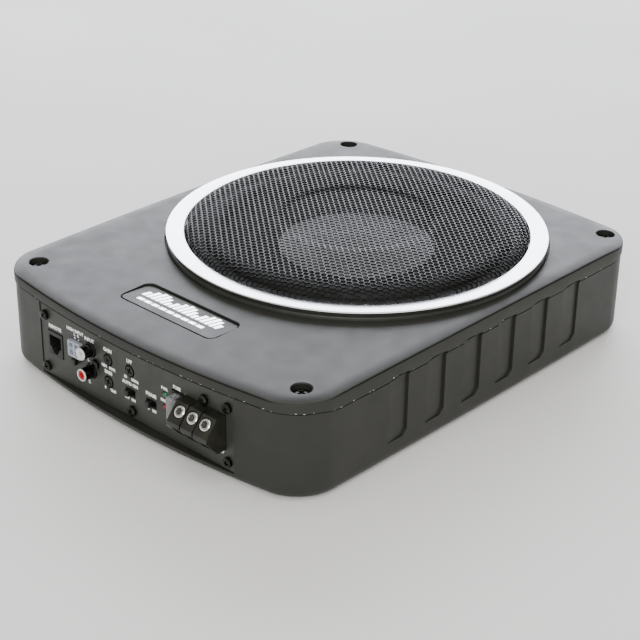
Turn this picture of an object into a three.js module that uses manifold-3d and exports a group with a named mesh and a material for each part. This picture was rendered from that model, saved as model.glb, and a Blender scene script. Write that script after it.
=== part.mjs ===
// Powered under-seat car subwoofer: a shallow die-cast enclosure with an 8 inch driver under a
// domed grille and an amplifier behind the control panel in its bowed front wall.
// Millimetres, +Z up. The origin is on the underside, below the middle of the bounding box.
// +X is the panel's width and -Y is the side that the control panel faces.
import * as THREE from 'three';
import { mergeVertices } from 'three/addons/utils/BufferGeometryUtils.js';
import Module from 'manifold-3d';

const wasm = await Module();
wasm.setup();

// Enclosure
const bodyHalfX = 120.8;
const bodyHalfY = 143.9;
const bodyMiddleY = 5.75;
const cornerRadius = 22.6;
const frontBow = 12.0;
const backBow = 7.9;
const sideBow = 1.0;
const touchGap = 0.3;
const floorThickness = 3;
const trayWall = 5;
const trayInset = 0.6;
const bottomRound = 6;
const partingZ = 50.9;
const lidPlaneZ = 57.2;
const lidThickness = 4;
const lidWall = 4;
const crownFoot = 1.0;
const crownRise = 1.0;
const crownMiddleY = 12;
const crownHalfY = 130;
const coverScrewX = 104.3;
const coverScrewYs = [-123.2, 140.1];
const wellRadius = 5.5;
const wellFloorZ = 53.2;
const sealWidth = 1.6;
const sealHeight = 1.0;

// Pockets in the long walls
const pocketCount = 6;
const pocketFirstY = -60.1;
const pocketPitch = 30.2;
const pocketWidth = 15;
const pocketBottomZ = 11.9;
const pocketNotch = 3.4;
const pocketShallow = 0.5;
const pocketDeep = 1.6;

// Badge
const badge = { x: -1.5, y: -108.5, width: 74.5, height: 24.2, radius: 5, pocketDepth: 1.9 };
const badgePlate = { gap: 0.9, thickness: 0.6 };

// Control panel
const panelFaceY = -144;
const panelThickness = 2;
const panelHalfX = 77.2;
const panelBottomZ = 5.8;
const cornerScrews = { x: 73.2, zs: [10.8, 42.9] };
const screwHeadRadius = 3.0;
const screwHeadHeight = 1.9;
const jack = { x: -65.3, z: 26.9, width: 12.4, height: 15.1 };
const socket = { x: -47.2, z: 31.0, width: 10.2, height: 9.7, proud: 2.2 };
const rca = { x: -34.9, zs: [35.0, 21.9], shell: 3.6, collar: 4.4, proud: 7.5 };
const rcaScrew = { x: -30.6, z: 27.9 };
const trimmers = {
  gain: { x: -20.3, z: 34.3 },
  bass: { x: -20.3, z: 20.8 },
  lowpass: { x: -2.5, z: 34.3 },
};
const trimmerHole = 3.8;
const rotorRadius = 2.9;
const switches = {
  turn_on: { x: -2.5, z: 21.2 },
  phase: { x: 14.3, z: 21.2 },
};
const switchSlot = { width: 8, height: 4.6 };
const leverSize = { width: 3, height: 3.6, travel: 2 };
const lampX = 25.3;
const lampZs = { power: 31.0, protect: 23.7 };
const lampRadius = 1.7;
const fuse = { x: 35.5, z: 27.0, width: 5.0, height: 18, holder: 20, proud: 6.5 };
const terminal = { x: 56.5, width: 29.6, wayX: 56.1, pitch: 9.5, bottomZ: 17.2, topZ: 37.5 };
const terminalScrew = { x: 56.0, z: 40.9 };
const middleScrew = { x: -0.8, z: 10.8 };

// Driver and grille
const driverY = 32.9;
const cutoutRadius = 93.2;
const ringRadius = 113;
const ringInner = 102.6;
const ringTopZ = 63.7;
const ringFaceThickness = 0.7;
const grilleRadius = 102.3;
const grilleFlat = 87;
const grilleBaseZ = 63.0;
const grilleRim = 5.7;
const grilleCrown = 2.0;
const grilleThickness = 1.0;
const grilleFoot = 62.2;
const dish = { inner: 42.5, outer: 49.5, depth: 1.0 };
const capRadius = 45;
const wideSides = 48;
const driverSides = 36;
const coilSides = 24;

// Amplifier
const board = { halfX: 94, frontY: -133, backY: -68, bottomZ: 14, thickness: 1.6 };

// Finishes
const finishes = {
  castPaint: [0x4b4c4e, 0.62, 0.15],
  panelPaint: [0x2c2d2e, 0.6, 0.1],
  blackSteel: [0x151515, 0.4, 0.5],
  blackPlastic: [0x141414, 0.55, 0],
  whitePlastic: [0xe6e6e0, 0.4, 0],
  redPlastic: [0xc22024, 0.4, 0],
  greenLens: [0x1f9a4c, 0.25, 0],
  redLens: [0x9a1820, 0.25, 0],
  clearPlastic: [0xd6dad8, 0.15, 0],
  silver: [0xdadcde, 0.3, 0.85],
  nickel: [0xc9c9c4, 0.25, 0.9],
  grillePaint: [0x1c1c1d, 0.5, 0.3],
  paperPulp: [0x232324, 0.85, 0],
  capPlastic: [0x8a8b8c, 0.5, 0],
  rubber: [0x1b1b1b, 0.8, 0],
  cloth: [0xc8a45a, 0.95, 0],
  ferrite: [0x2b2b2c, 0.7, 0.1],
  steel: [0x9a9c9f, 0.4, 0.8],
  copper: [0xb87333, 0.4, 0.8],
  boardGreen: [0x1d5a35, 0.5, 0],
  aluminium: [0xb0b3b6, 0.4, 0.85],
  sleeve: [0x1d2a55, 0.35, 0],
  foam: [0x202020, 0.95, 0],
};

// Solids are manifolds while they are being cut, and geometries once they go into the model.
function solid(geometry) {
  const bare = geometry.clone();
  bare.deleteAttribute('normal');
  bare.deleteAttribute('uv');
  const merged = mergeVertices(bare, 1e-4);
  const vertProperties = new Float32Array(merged.attributes.position.array);
  const triVerts = new Uint32Array(merged.index.array);
  return new wasm.Manifold(new wasm.Mesh({ numProp: 3, vertProperties, triVerts }));
}

function surface(manifold) {
  const mesh = manifold.getMesh();
  const geometry = new THREE.BufferGeometry();
  geometry.setAttribute('position', new THREE.BufferAttribute(mesh.vertProperties, 3));
  geometry.setIndex(new THREE.BufferAttribute(mesh.triVerts, 1));
  geometry.computeVertexNormals();
  return geometry;
}

function joinAll(first, ...others) {
  return others.reduce((whole, other) => whole.add(other), first);
}

function cutAll(first, ...tools) {
  return tools.reduce((whole, tool) => whole.subtract(tool), first);
}

// A box between two corners.
function block(x0, x1, y0, y1, z0, z1) {
  const geometry = new THREE.BoxGeometry(x1 - x0, y1 - y0, z1 - z0);
  geometry.translate((x0 + x1) / 2, (y0 + y1) / 2, (z0 + z1) / 2);
  return solid(geometry);
}

// A box behind, through or in front of the panel, centred on a panel position.
function panelBlock(x, z, width, height, y0, y1) {
  return block(x - width / 2, x + width / 2, y0, y1, z - height / 2, z + height / 2);
}

// A round bar along Z.
function postZ(x, y, radius, z0, z1, sides) {
  const geometry = new THREE.CylinderGeometry(radius, radius, z1 - z0, sides);
  geometry.rotateX(Math.PI / 2);
  geometry.translate(x, y, (z0 + z1) / 2);
  return solid(geometry);
}

// A round bar along Y.
function postY(x, z, radius, y0, y1, sides) {
  const geometry = new THREE.CylinderGeometry(radius, radius, y1 - y0, sides);
  geometry.translate(x, (y0 + y1) / 2, z);
  return solid(geometry);
}

// A ring or disc turned about Z from [radius, z] points, in anticlockwise order.
function turned(profile, sides = wideSides) {
  const points = profile.map(([radius, z]) => new THREE.Vector2(radius, z));
  if (profile[0][0] > 0) {
    points.push(points[0].clone());
  }
  const geometry = new THREE.LatheGeometry(points, sides);
  geometry.rotateX(Math.PI / 2);
  return solid(geometry);
}

function driverPart(profile, sides = wideSides) {
  return turned(profile, sides).translate([0, driverY, 0]);
}

// An extrusion along X of [y, z] points.
function extrudedX(outline, x0, x1) {
  const shape = new THREE.Shape(outline.map(([y, z]) => new THREE.Vector2(y, z)));
  const geometry = new THREE.ExtrudeGeometry(shape, { depth: x1 - x0, bevelEnabled: false });
  const axes = new THREE.Matrix4();
  axes.makeBasis(new THREE.Vector3(0, 1, 0), new THREE.Vector3(0, 0, 1), new THREE.Vector3(1, 0, 0));
  geometry.applyMatrix4(axes);
  geometry.translate(x0, 0, 0);
  return solid(geometry);
}

// The enclosure's outline: a rounded rectangle whose four sides are bowed outwards.
function footprint(inset) {
  const halfX = bodyHalfX - inset;
  const halfY = bodyHalfY - inset;
  const radius = cornerRadius - inset;
  const cornerSteps = 4;
  const longSteps = 2;
  const shortSteps = 8;
  const points = [];
  const bowed = (x, y) => {
    const acrossX = 1 - (x / halfX) ** 2;
    const acrossY = 1 - (y / halfY) ** 2;
    const endBow = y < 0 ? frontBow : backBow;
    const outX = Math.sign(x) * sideBow * acrossY * Math.abs(x / halfX) ** 6;
    const outY = Math.sign(y) * endBow * acrossX * Math.abs(y / halfY) ** 6;
    points.push(new THREE.Vector2(x + outX, y + outY + bodyMiddleY));
  };
  const corners = [[1, -1], [1, 1], [-1, 1], [-1, -1]];
  corners.forEach(([signX, signY], index) => {
    const startAngle = (index - 1) * Math.PI / 2;
    const centreX = signX * (halfX - radius);
    const centreY = signY * (halfY - radius);
    for (let step = 0; step <= cornerSteps; step += 1) {
      const angle = startAngle + step / cornerSteps * Math.PI / 2;
      bowed(centreX + radius * Math.cos(angle), centreY + radius * Math.sin(angle));
    }
    const [nextX, nextY] = corners[(index + 1) % 4];
    const endAngle = startAngle + Math.PI / 2;
    const from = [centreX + radius * Math.cos(endAngle), centreY + radius * Math.sin(endAngle)];
    const to = [nextX * (halfX - radius) + radius * Math.cos(endAngle),
      nextY * (halfY - radius) + radius * Math.sin(endAngle)];
    const steps = index % 2 === 0 ? longSteps : shortSteps;
    for (let step = 1; step < steps; step += 1) {
      const along = step / steps;
      bowed(from[0] + (to[0] - from[0]) * along, from[1] + (to[1] - from[1]) * along);
    }
  });
  return points;
}

// A solid through outlines at rising heights, as [inset, z] layers.
function lofted(layers) {
  const rings = layers.map(([inset]) => footprint(inset));
  const count = rings[0].length;
  const positions = [];
  rings.forEach((ring, layer) => {
    ring.forEach((point) => positions.push(point.x, point.y, layers[layer][1]));
  });
  const indices = [];
  for (let layer = 0; layer < layers.length - 1; layer += 1) {
    for (let step = 0; step < count; step += 1) {
      const a = layer * count + step;
      const b = layer * count + (step + 1) % count;
      indices.push(a, b, b + count, a, b + count, a + count);
    }
  }
  const capFaces = (ring) => THREE.ShapeUtils.triangulateShape(ring, []);
  capFaces(rings[0]).forEach(([a, b, c]) => indices.push(a, c, b));
  const top = (layers.length - 1) * count;
  capFaces(rings[layers.length - 1]).forEach(([a, b, c]) => indices.push(top + a, top + b, top + c));
  const geometry = new THREE.BufferGeometry();
  geometry.setAttribute('position', new THREE.Float32BufferAttribute(positions, 3));
  geometry.setIndex(indices);
  return solid(geometry);
}

// Everything below the crowned lid surface, lowered by drop.
function underCrown(drop) {
  const outline = [[-200, 0], [200, 0]];
  const steps = 10;
  for (let step = 0; step <= steps; step += 1) {
    const y = 165 - 330 * step / steps;
    const rise = crownFoot + crownRise * (1 - ((y - crownMiddleY) / crownHalfY) ** 2);
    outline.push([y, lidPlaneZ + rise - drop]);
  }
  outline.splice(2, 0, [200, lidPlaneZ - drop - crownRise]);
  outline.push([-200, lidPlaneZ - drop - crownRise]);
  return extrudedX(outline, -150, 150);
}

const badgeRise = crownRise * (1 - ((badge.y - crownMiddleY) / crownHalfY) ** 2);
const badgeTopZ = lidPlaneZ + crownFoot + badgeRise;

function badgeSlab(shrink, z0, z1) {
  const halfX = badge.width / 2 - shrink;
  const halfY = badge.height / 2 - shrink;
  const radius = badge.radius - shrink;
  const shape = new THREE.Shape();
  shape.absarc(halfX - radius, -halfY + radius, radius, -Math.PI / 2, 0);
  shape.absarc(halfX - radius, halfY - radius, radius, 0, Math.PI / 2);
  shape.absarc(-halfX + radius, halfY - radius, radius, Math.PI / 2, Math.PI);
  shape.absarc(-halfX + radius, -halfY + radius, radius, Math.PI, Math.PI * 1.5);
  const settings = { depth: z1 - z0, bevelEnabled: false, curveSegments: 5 };
  const geometry = new THREE.ExtrudeGeometry(shape, settings);
  geometry.translate(badge.x, badge.y, z0);
  return solid(geometry);
}

// The pockets of one long wall: each has a floor that slants from shallow to deep along +Y.
function pockets(sign, wallX, z0, z1) {
  const tools = [];
  for (let index = 0; index < pocketCount; index += 1) {
    const farY = pocketFirstY + index * pocketPitch;
    const nearY = farY - pocketWidth;
    const shape = new THREE.Shape([
      new THREE.Vector2(sign * (wallX - pocketShallow), nearY),
      new THREE.Vector2(sign * (wallX + 5), nearY),
      new THREE.Vector2(sign * (wallX + 5), farY),
      new THREE.Vector2(sign * (wallX - pocketDeep), farY),
    ]);
    const geometry = new THREE.ExtrudeGeometry(shape, { depth: z1 - z0, bevelEnabled: false });
    geometry.translate(0, 0, z0);
    tools.push(solid(geometry));
  }
  return tools;
}

const wallX = bodyHalfX + sideBow * 0.8 - trayInset;

// Base tray: floor, walls, cover bosses, panel lugs and board posts in one casting.
function makeBaseTray() {
  const top = partingZ - touchGap;
  const outer = lofted([
    [trayInset + bottomRound, 0],
    [trayInset + bottomRound * 0.62, bottomRound * 0.07],
    [trayInset + bottomRound * 0.29, bottomRound * 0.29],
    [trayInset + bottomRound * 0.07, bottomRound * 0.62],
    [trayInset, bottomRound],
    [trayInset, top],
  ]);
  const inside = lofted([[trayInset + trayWall, floorThickness], [trayInset + trayWall, top + 5]]);
  const shell = cutAll(outer, inside);
  const bosses = [];
  const holes = [];
  for (const y of coverScrewYs) {
    for (const sign of [-1, 1]) {
      const x = sign * coverScrewX;
      bosses.push(postZ(x, y, 7, 1, top, 10));
      const webX = [x, sign * (wallX - 2)].sort((a, b) => a - b);
      bosses.push(block(webX[0], webX[1], y - 1.5, y + 1.5, 1, top - 2));
      holes.push(postZ(x, y, 2.4, top - 18, top + 1, 8));
    }
  }
  for (const sign of [-1, 1]) {
    const lug = [sign * 81, sign * 72.3].sort((a, b) => a - b);
    bosses.push(block(lug[0], lug[1], -141.7, -136.7, 1, top));
    for (const z of cornerScrews.zs) {
      const pad = [sign * 80, sign * 69.5].sort((a, b) => a - b);
      bosses.push(block(pad[0], pad[1], -141.7, -136.7, z - 3.5, z + 3.5));
      holes.push(postY(sign * cornerScrews.x, z, 1.8, -145, -135, 8));
    }
    for (const y of [board.frontY + 6, board.backY - 6]) {
      bosses.push(postZ(sign * (board.halfX - 6), y, 3.5, 1, board.bottomZ - touchGap, 8));
    }
  }
  const notch = block(-panelHalfX - touchGap, panelHalfX + touchGap, -160, -141.7,
    panelBottomZ - touchGap, top + 5);
  const seat = block(-71.9, 71.9, -143, -120, panelBottomZ - touchGap, top + 5);
  const grooveOuter = lofted([[2.2, top - sealHeight - 0.6], [2.2, top + 5]]);
  const grooveInner = lofted([[4.4, top - 5], [4.4, top + 6]]);
  const groove = grooveOuter.subtract(grooveInner);
  const walled = cutAll(shell, notch, seat);
  const sidePockets = [
    ...pockets(1, wallX, pocketBottomZ, top + 2),
    ...pockets(-1, wallX, pocketBottomZ, top + 2),
  ];
  const fittings = joinAll(...bosses).intersect(outer);
  return cutAll(walled.add(fittings), groove, ...holes, ...sidePockets);
}

// Top cover: crowned plate with a short rim, screw wells, badge pocket and driver cut-out.
function makeTopCover() {
  const outer = lofted([[0, partingZ], [0, lidPlaneZ + 8]]).intersect(underCrown(0));
  const inside = lofted([[lidWall, partingZ - 3], [lidWall, lidPlaneZ + 8]]);
  const shell = outer.subtract(inside.intersect(underCrown(lidThickness)));
  const bosses = [];
  const wells = [];
  for (const y of coverScrewYs) {
    for (const x of [-coverScrewX, coverScrewX]) {
      bosses.push(postZ(x, y, 9, partingZ, wellFloorZ + 2, 12));
      wells.push(postZ(x, y, wellRadius, wellFloorZ, lidPlaneZ + 8, 16));
      wells.push(postZ(x, y, 2.4, partingZ - 3, wellFloorZ + 1, 8));
    }
  }
  return cutAll(
    joinAll(shell, ...bosses),
    ...wells,
    postZ(0, driverY, cutoutRadius, partingZ - 3, lidPlaneZ + 8, wideSides),
    postZ(0, driverY, ringRadius + 0.5, lidPlaneZ, lidPlaneZ + 8, wideSides),
    badgeSlab(0, badgeTopZ - badge.pocketDepth, badgeTopZ + 5),
    ...pockets(1, wallX + trayInset, partingZ - 3, partingZ + pocketNotch),
    ...pockets(-1, wallX + trayInset, partingZ - 3, partingZ + pocketNotch),
  );
}

function makeBadgePlate() {
  const bottom = badgeTopZ - badge.pocketDepth + touchGap;
  return badgeSlab(badgePlate.gap, bottom, bottom + badgePlate.thickness);
}

// The seal lies in the tray's groove and stops at both ends of the panel notch.
function makeCoverSeal() {
  const z1 = partingZ - touchGap - 0.1;
  const z0 = z1 - sealHeight;
  const outer = lofted([[2.5, z0], [2.5, z1]]);
  const inner = lofted([[2.5 + sealWidth, z0 - 1], [2.5 + sealWidth, z1 + 1]]);
  return cutAll(outer, inner, block(-81.5, 81.5, -160, -120, z0 - 2, z1 + 2));
}

// A pan-head screw standing along +Z with its seat at zero, and a cross recess in its head.
function panScrew(headRadius, headHeight, shankRadius, shankLength, sides) {
  const head = turned([
    [0, -shankLength],
    [shankRadius, -shankLength],
    [shankRadius, 0],
    [headRadius, 0],
    [headRadius, headHeight * 0.45],
    [headRadius * 0.72, headHeight * 0.88],
    [0, headHeight],
  ], sides);
  const arm = headRadius * 0.55;
  const half = headRadius * 0.1;
  const low = headHeight * 0.45;
  return cutAll(head,
    block(-arm, arm, -half, half, low, headHeight + 1),
    block(-half, half, -arm, arm, low, headHeight + 1));
}

// The same screw turned to stand out of the panel.
function panelScrew(x, z) {
  const screw = panScrew(screwHeadRadius, screwHeadHeight, 1.3, 5, 8);
  return screw.rotate([90, 0, 0]).translate([x, panelFaceY - touchGap, z]);
}

function makeControlPanel() {
  const y0 = panelFaceY;
  const y1 = panelFaceY + panelThickness;
  const plate = block(-panelHalfX, panelHalfX, y0, y1, panelBottomZ, partingZ - 0.4);
  const cutY0 = y0 - 2;
  const cutY1 = y1 + 2;
  const holes = [
    panelBlock(jack.x, jack.z, jack.width + 0.6, jack.height + 0.6, cutY0, cutY1),
    panelBlock(socket.x, socket.z, socket.width + 0.6, socket.height + 0.6, cutY0, cutY1),
    panelBlock(fuse.x, fuse.z, 9, fuse.holder + 0.6, cutY0, cutY1),
    block(terminal.x - terminal.width / 2 - touchGap, terminal.x + terminal.width / 2 + touchGap,
      cutY0, cutY1, terminal.bottomZ - touchGap, terminal.topZ + touchGap),
  ];
  for (const z of rca.zs) {
    holes.push(postY(rca.x, z, rca.collar + touchGap, cutY0, cutY1, 16));
  }
  for (const { x, z } of Object.values(trimmers)) {
    holes.push(postY(x, z, trimmerHole, cutY0, cutY1, 12));
  }
  for (const { x, z } of Object.values(switches)) {
    holes.push(panelBlock(x, z, switchSlot.width, switchSlot.height, cutY0, cutY1));
  }
  for (const z of Object.values(lampZs)) {
    holes.push(postY(lampX, z, lampRadius + touchGap, cutY0, cutY1, 8));
  }
  for (const { x, z } of screwPlaces) {
    holes.push(postY(x, z, 1.8, cutY0, cutY1, 8));
  }
  return cutAll(plate, ...holes);
}

const screwPlaces = [
  ...cornerScrews.zs.flatMap((z) => [-1, 1].map((sign) => ({ x: sign * cornerScrews.x, z }))),
  rcaScrew,
  middleScrew,
  terminalScrew,
];

const behindPanel = panelFaceY + panelThickness + touchGap;

// Modular jack: housing with a plug cavity and a stepped latch slot below it.
function makeRemoteJack() {
  const { x, z } = jack;
  const front = panelFaceY - 0.5;
  return cutAll(
    panelBlock(x, z, jack.width, jack.height, front, front + 15),
    panelBlock(x, z + 1.4, 9.8, 7.2, front - 2, front + 12),
    panelBlock(x, z - 3.1, 6.4, 2.4, front - 2, front + 12),
    panelBlock(x, z - 5.0, 3.6, 2.2, front - 2, front + 12),
  );
}

function makeSpeakerSocket() {
  const front = panelFaceY - socket.proud;
  const body = panelBlock(socket.x, socket.z, socket.width, socket.height, front, -134);
  const cells = [];
  for (const stepX of [-1, 1]) {
    for (const stepZ of [-1, 1]) {
      const x = socket.x + stepX * 2.2;
      const z = socket.z + stepZ * 2.1;
      cells.push(panelBlock(x, z, 3.2, 3.2, front - 1, front + 7));
    }
  }
  return cutAll(body, ...cells);
}

function makeSpeakerLatch() {
  const z = socket.z - socket.height / 2 - 2.3;
  return block(socket.x - 1.7, socket.x + 1.7, panelFaceY - 3.2, panelFaceY - touchGap, z - 2, z + 1.7);
}

function makeRcaBlock() {
  const middleZ = (rca.zs[0] + rca.zs[1]) / 2 + 0.5;
  const body = panelBlock(rca.x + 0.6, middleZ, 10.6, 24, behindPanel, -129);
  const collars = [];
  const bores = [];
  for (const z of rca.zs) {
    collars.push(postY(rca.x, z, rca.collar, panelFaceY - 1.2, behindPanel + 1, 16));
    bores.push(postY(rca.x, z, rca.shell + touchGap, panelFaceY - 3, -137, 16));
  }
  return cutAll(
    joinAll(body, ...collars),
    ...bores,
    postY(rcaScrew.x, rcaScrew.z, 1.8, -145, -134, 8),
  );
}

function makeRcaShell(z) {
  const front = panelFaceY - rca.proud;
  const length = -137.5 - front;
  const tube = turned([
    [rca.shell - 0.7, 0],
    [rca.shell, 0],
    [rca.shell, length - 0.4],
    [rca.shell - 0.4, length],
    [rca.shell - 0.7, length],
  ], 16);
  return tube.rotate([90, 0, 0]).translate([rca.x, front + length, z]);
}

function makeRcaInsulator(z) {
  const front = panelFaceY - rca.proud + 0.4;
  const disc = postY(rca.x, z, rca.shell - 1.0, front, -138, 16);
  return disc.subtract(postY(rca.x, z, 1.6, front - 1, front + 9, 10));
}

function makeTrimmerBody({ x, z }) {
  const housing = panelBlock(x, z, 9.4, 9.4, behindPanel, -134);
  return housing.subtract(postY(x, z, rotorRadius + 0.4, behindPanel - 1, -137.5, 14));
}

function makeTrimmerRotor({ x, z }) {
  const front = panelFaceY - 0.4;
  const rotor = postY(x, z, rotorRadius, front, -138, 14);
  const arm = rotorRadius * 0.75;
  return cutAll(rotor,
    panelBlock(x, z, arm * 2, 0.8, front - 1, front + 1.2),
    panelBlock(x, z, 0.8, arm * 2, front - 1, front + 1.2));
}

function makeSwitchBody({ x, z }) {
  const housing = panelBlock(x, z, 12, 6.6, behindPanel, -135);
  return housing.subtract(panelBlock(x, z, switchSlot.width, switchSlot.height, behindPanel - 1, -139));
}

// The lever stands at the left end of its slot and slides to the right.
function makeSwitchLever({ x, z }) {
  const left = x - leverSize.travel / 2;
  const grip = panelBlock(left, z, leverSize.width, leverSize.height, panelFaceY - 2.6, -140);
  const skirt = panelBlock(left, z, leverSize.width + 1.4, leverSize.height, -141.4, -139.4);
  return grip.add(skirt);
}

function makeLamp(z) {
  const lamp = turned([[0, 0], [lampRadius, 0], [lampRadius, 7.5], [lampRadius * 0.7, 8.5], [0, 9]], 10);
  return lamp.rotate([90, 0, 0]).translate([lampX, panelFaceY + 8.1, z]);
}

function makeFuseHolder() {
  const { x, z } = fuse;
  const slots = [-1, 1].map((side) => panelBlock(x, z + side * 5.8, 1.5, 6, -140, -131));
  return cutAll(
    panelBlock(x, z, 8.4, fuse.holder, panelFaceY - 0.8, -129),
    panelBlock(x, z, fuse.width + 0.6, fuse.height + 0.6, panelFaceY - 2, -138.6),
    ...slots,
  );
}

function makeBladeFuse() {
  const { x, z } = fuse;
  const front = panelFaceY - fuse.proud;
  const head = panelBlock(x, z, fuse.width, fuse.height, front, -144.6);
  const waist = panelBlock(x, z, 3.6, fuse.height - 3, -145, -139);
  const blades = [-1, 1].map((side) => panelBlock(x, z + side * 5.8, 0.8, 5.2, -139.5, -131.5));
  return joinAll(head, waist, ...blades);
}

// Screw terminal block. Its side view has a sloped screw face above a receding wire face.
const slopeTop = [-150.2, terminal.topZ];
const slopeEnd = [-157.6, 28.3];
const slopeMiddle = [(slopeTop[0] + slopeEnd[0]) / 2, (slopeTop[1] + slopeEnd[1]) / 2];
const slopeAngle = Math.atan2(slopeTop[0] - slopeEnd[0], slopeTop[1] - slopeEnd[1]);
const wayXs = [-1, 0, 1].map((step) => terminal.wayX + step * terminal.pitch);
const screwRise = 1.0; // how far the screws sit above the middle of the slope

// Puts a piece that stands along +Z at zero onto the sloped face of one way.
function onSlope(piece, x) {
  const tilt = 90 - slopeAngle * 180 / Math.PI;
  const y = slopeMiddle[0] + screwRise * Math.sin(slopeAngle);
  const z = slopeMiddle[1] + screwRise * Math.cos(slopeAngle);
  return piece.rotate([tilt, 0, 0]).translate([x, y, z]);
}

function makeTerminalBlock() {
  const outline = [
    [-134, terminal.bottomZ],
    [-134, terminal.topZ],
    slopeTop,
    slopeEnd,
    [-157.6, 25.8],
    [-150.0, terminal.bottomZ],
  ];
  const core = outline.map(([y, z]) => [y * 0.992, 27.4 + (z - 27.4) * 0.9]);
  const x0 = terminal.x - terminal.width / 2;
  const x1 = terminal.x + terminal.width / 2;
  const body = extrudedX([...outline].reverse(), x0, x1);
  const coreBar = extrudedX([...core].reverse(), x0 - 5, x1 + 5);
  const tools = [];
  for (const side of [-0.5, 0.5]) {
    const x = terminal.wayX + side * terminal.pitch;
    const slice = block(x - 0.5, x + 0.5, -160, -145.5, 10, 45);
    tools.push(slice.subtract(coreBar));
  }
  for (const x of wayXs) {
    tools.push(onSlope(postZ(0, 0, 3.9, -2.6, 5, 14), x));
    tools.push(onSlope(postZ(0, 0, 2.0, -7.5, 0, 8), x));
    tools.push(block(x - 3.4, x + 3.4, -160, -144.5, 19.2, 25.0));
  }
  return cutAll(body, ...tools);
}

function makeTerminalScrew(x) {
  const screw = turned([
    [0, -6],
    [1.6, -6],
    [1.6, -2.2],
    [3.4, -2.2],
    [3.4, -0.1],
    [3.0, 0.4],
    [0, 0.4],
  ], 14);
  const key = new THREE.CylinderGeometry(1.5, 1.5, 3, 6);
  key.rotateX(Math.PI / 2);
  return onSlope(screw.subtract(solid(key)), x);
}

// Trim ring and grille
function makeTrimRingBase() {
  return driverPart([
    [103.6, lidPlaneZ + touchGap],
    [ringRadius, lidPlaneZ + touchGap],
    [ringRadius, 62.7],
    [102.8, 62.7],
    [102.8, 61.9],
    [99.6, 61.9],
    [99.6, 60.9],
    [103.6, 60.9],
  ]);
}

function makeTrimRingFace() {
  const low = ringTopZ - ringFaceThickness;
  return driverPart([
    [ringInner, low],
    [ringRadius, low],
    [ringRadius, ringTopZ - 0.3],
    [ringRadius - 0.6, ringTopZ],
    [ringInner + 0.4, ringTopZ],
    [ringInner, ringTopZ - 0.3],
  ]);
}

// Height of the grille's outer face: a quarter-ellipse rim, a shallow crown and a dished middle.
function grilleHeight(radius, edge, drop) {
  const outward = Math.max(0, (radius - grilleFlat) / (edge - grilleFlat));
  const rim = grilleRim * Math.sqrt(Math.max(0, 1 - outward ** 2));
  const inward = (dish.outer - radius) / (dish.outer - dish.inner);
  const sunk = dish.depth * Math.min(1, Math.max(0, inward));
  return grilleBaseZ - drop + rim + grilleCrown * (1 - (radius / edge) ** 2) - sunk;
}

function makeGrille() {
  const innerEdge = grilleRadius - grilleThickness;
  const outer = [[grilleRadius, grilleFoot]];
  const inner = [[innerEdge, grilleFoot]];
  for (const share of [1, 0.94, 0.75, 0.4, 0]) {
    const outerRadius = grilleFlat + share * (grilleRadius - grilleFlat);
    const innerRadius = grilleFlat + share * (innerEdge - grilleFlat);
    outer.push([outerRadius, grilleHeight(outerRadius, grilleRadius, 0)]);
    inner.push([innerRadius, grilleHeight(innerRadius, innerEdge, grilleThickness)]);
  }
  for (const radius of [dish.outer, dish.inner, 0]) {
    outer.push([radius, grilleHeight(radius, grilleRadius, 0)]);
    inner.push([radius, grilleHeight(radius, innerEdge, grilleThickness)]);
  }
  const profile = [...inner.slice().reverse(), ...outer];
  return turned(profile, driverSides).translate([0, driverY, 0]);
}

// Driver
function makeBasket() {
  const frame = driverPart([
    [30, 28.3],
    [52, 28.3],
    [66, 36],
    [90.8, 49],
    [92.4, 51],
    [92.4, 57.5],
    [103, 57.5],
    [103, 59.5],
    [90.4, 59.5],
    [90.4, 52],
    [89.6, 50.6],
    [65.2, 38.3],
    [60, 38.3],
    [60, 36.2],
    [51, 30.3],
    [30, 30.3],
  ], driverSides);
  const windows = [];
  for (let index = 0; index < 6; index += 1) {
    const window = block(70, 85, -16, 16, 30, 60);
    windows.push(window.rotate([0, 0, 30 + index * 60]).translate([0, driverY, 0]));
  }
  return cutAll(frame, ...windows);
}

function makeSurround() {
  const outer = [];
  const inner = [];
  const rollMiddle = 85.2;
  const rollRadius = 5.6;
  for (let step = 0; step <= 4; step += 1) {
    const angle = Math.PI * (1 - step / 4);
    outer.push([rollMiddle + rollRadius * Math.cos(angle), 60 + 4.6 * Math.sin(angle)]);
    inner.push([rollMiddle + (rollRadius - 0.8) * Math.cos(angle), 60 + 3.8 * Math.sin(angle)]);
  }
  return driverPart([
    [99.2, 59.8],
    [99.2, 60.6],
    [91.2, 60.6],
    ...outer.slice().reverse().slice(1),
    [79.4, 59.6],
    [79.4, 58.8],
    [80.2, 58.8],
    ...inner.slice(1, 4),
    [90.2, 59.8],
  ], driverSides);
}

function makeCone() {
  return driverPart([
    [21.0, 43.8],
    [50, 50.5],
    [79, 57.2],
    [79, 58.5],
    [50, 51.9],
    [21.0, 45.2],
  ], driverSides);
}

function makeDustCap() {
  const rise = 8.4;
  const base = 51.6;
  const outer = [];
  const inner = [];
  for (let step = 0; step <= 3; step += 1) {
    const radius = capRadius * (1 - step / 3);
    outer.push([radius, base + 0.8 + rise * (1 - (radius / capRadius) ** 2)]);
    inner.push([radius, base + rise * (1 - (radius / capRadius) ** 2)]);
  }
  const profile = [...inner.slice().reverse(), ...outer];
  return turned(profile, driverSides).translate([0, driverY, 0]);
}

function makeVoiceCoil() {
  return driverPart([
    [20.0, 18.5],
    [21.4, 18.5],
    [21.4, 33.0],
    [20.6, 33.0],
    [20.6, 47.0],
    [20.0, 47.0],
  ], coilSides);
}

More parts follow.
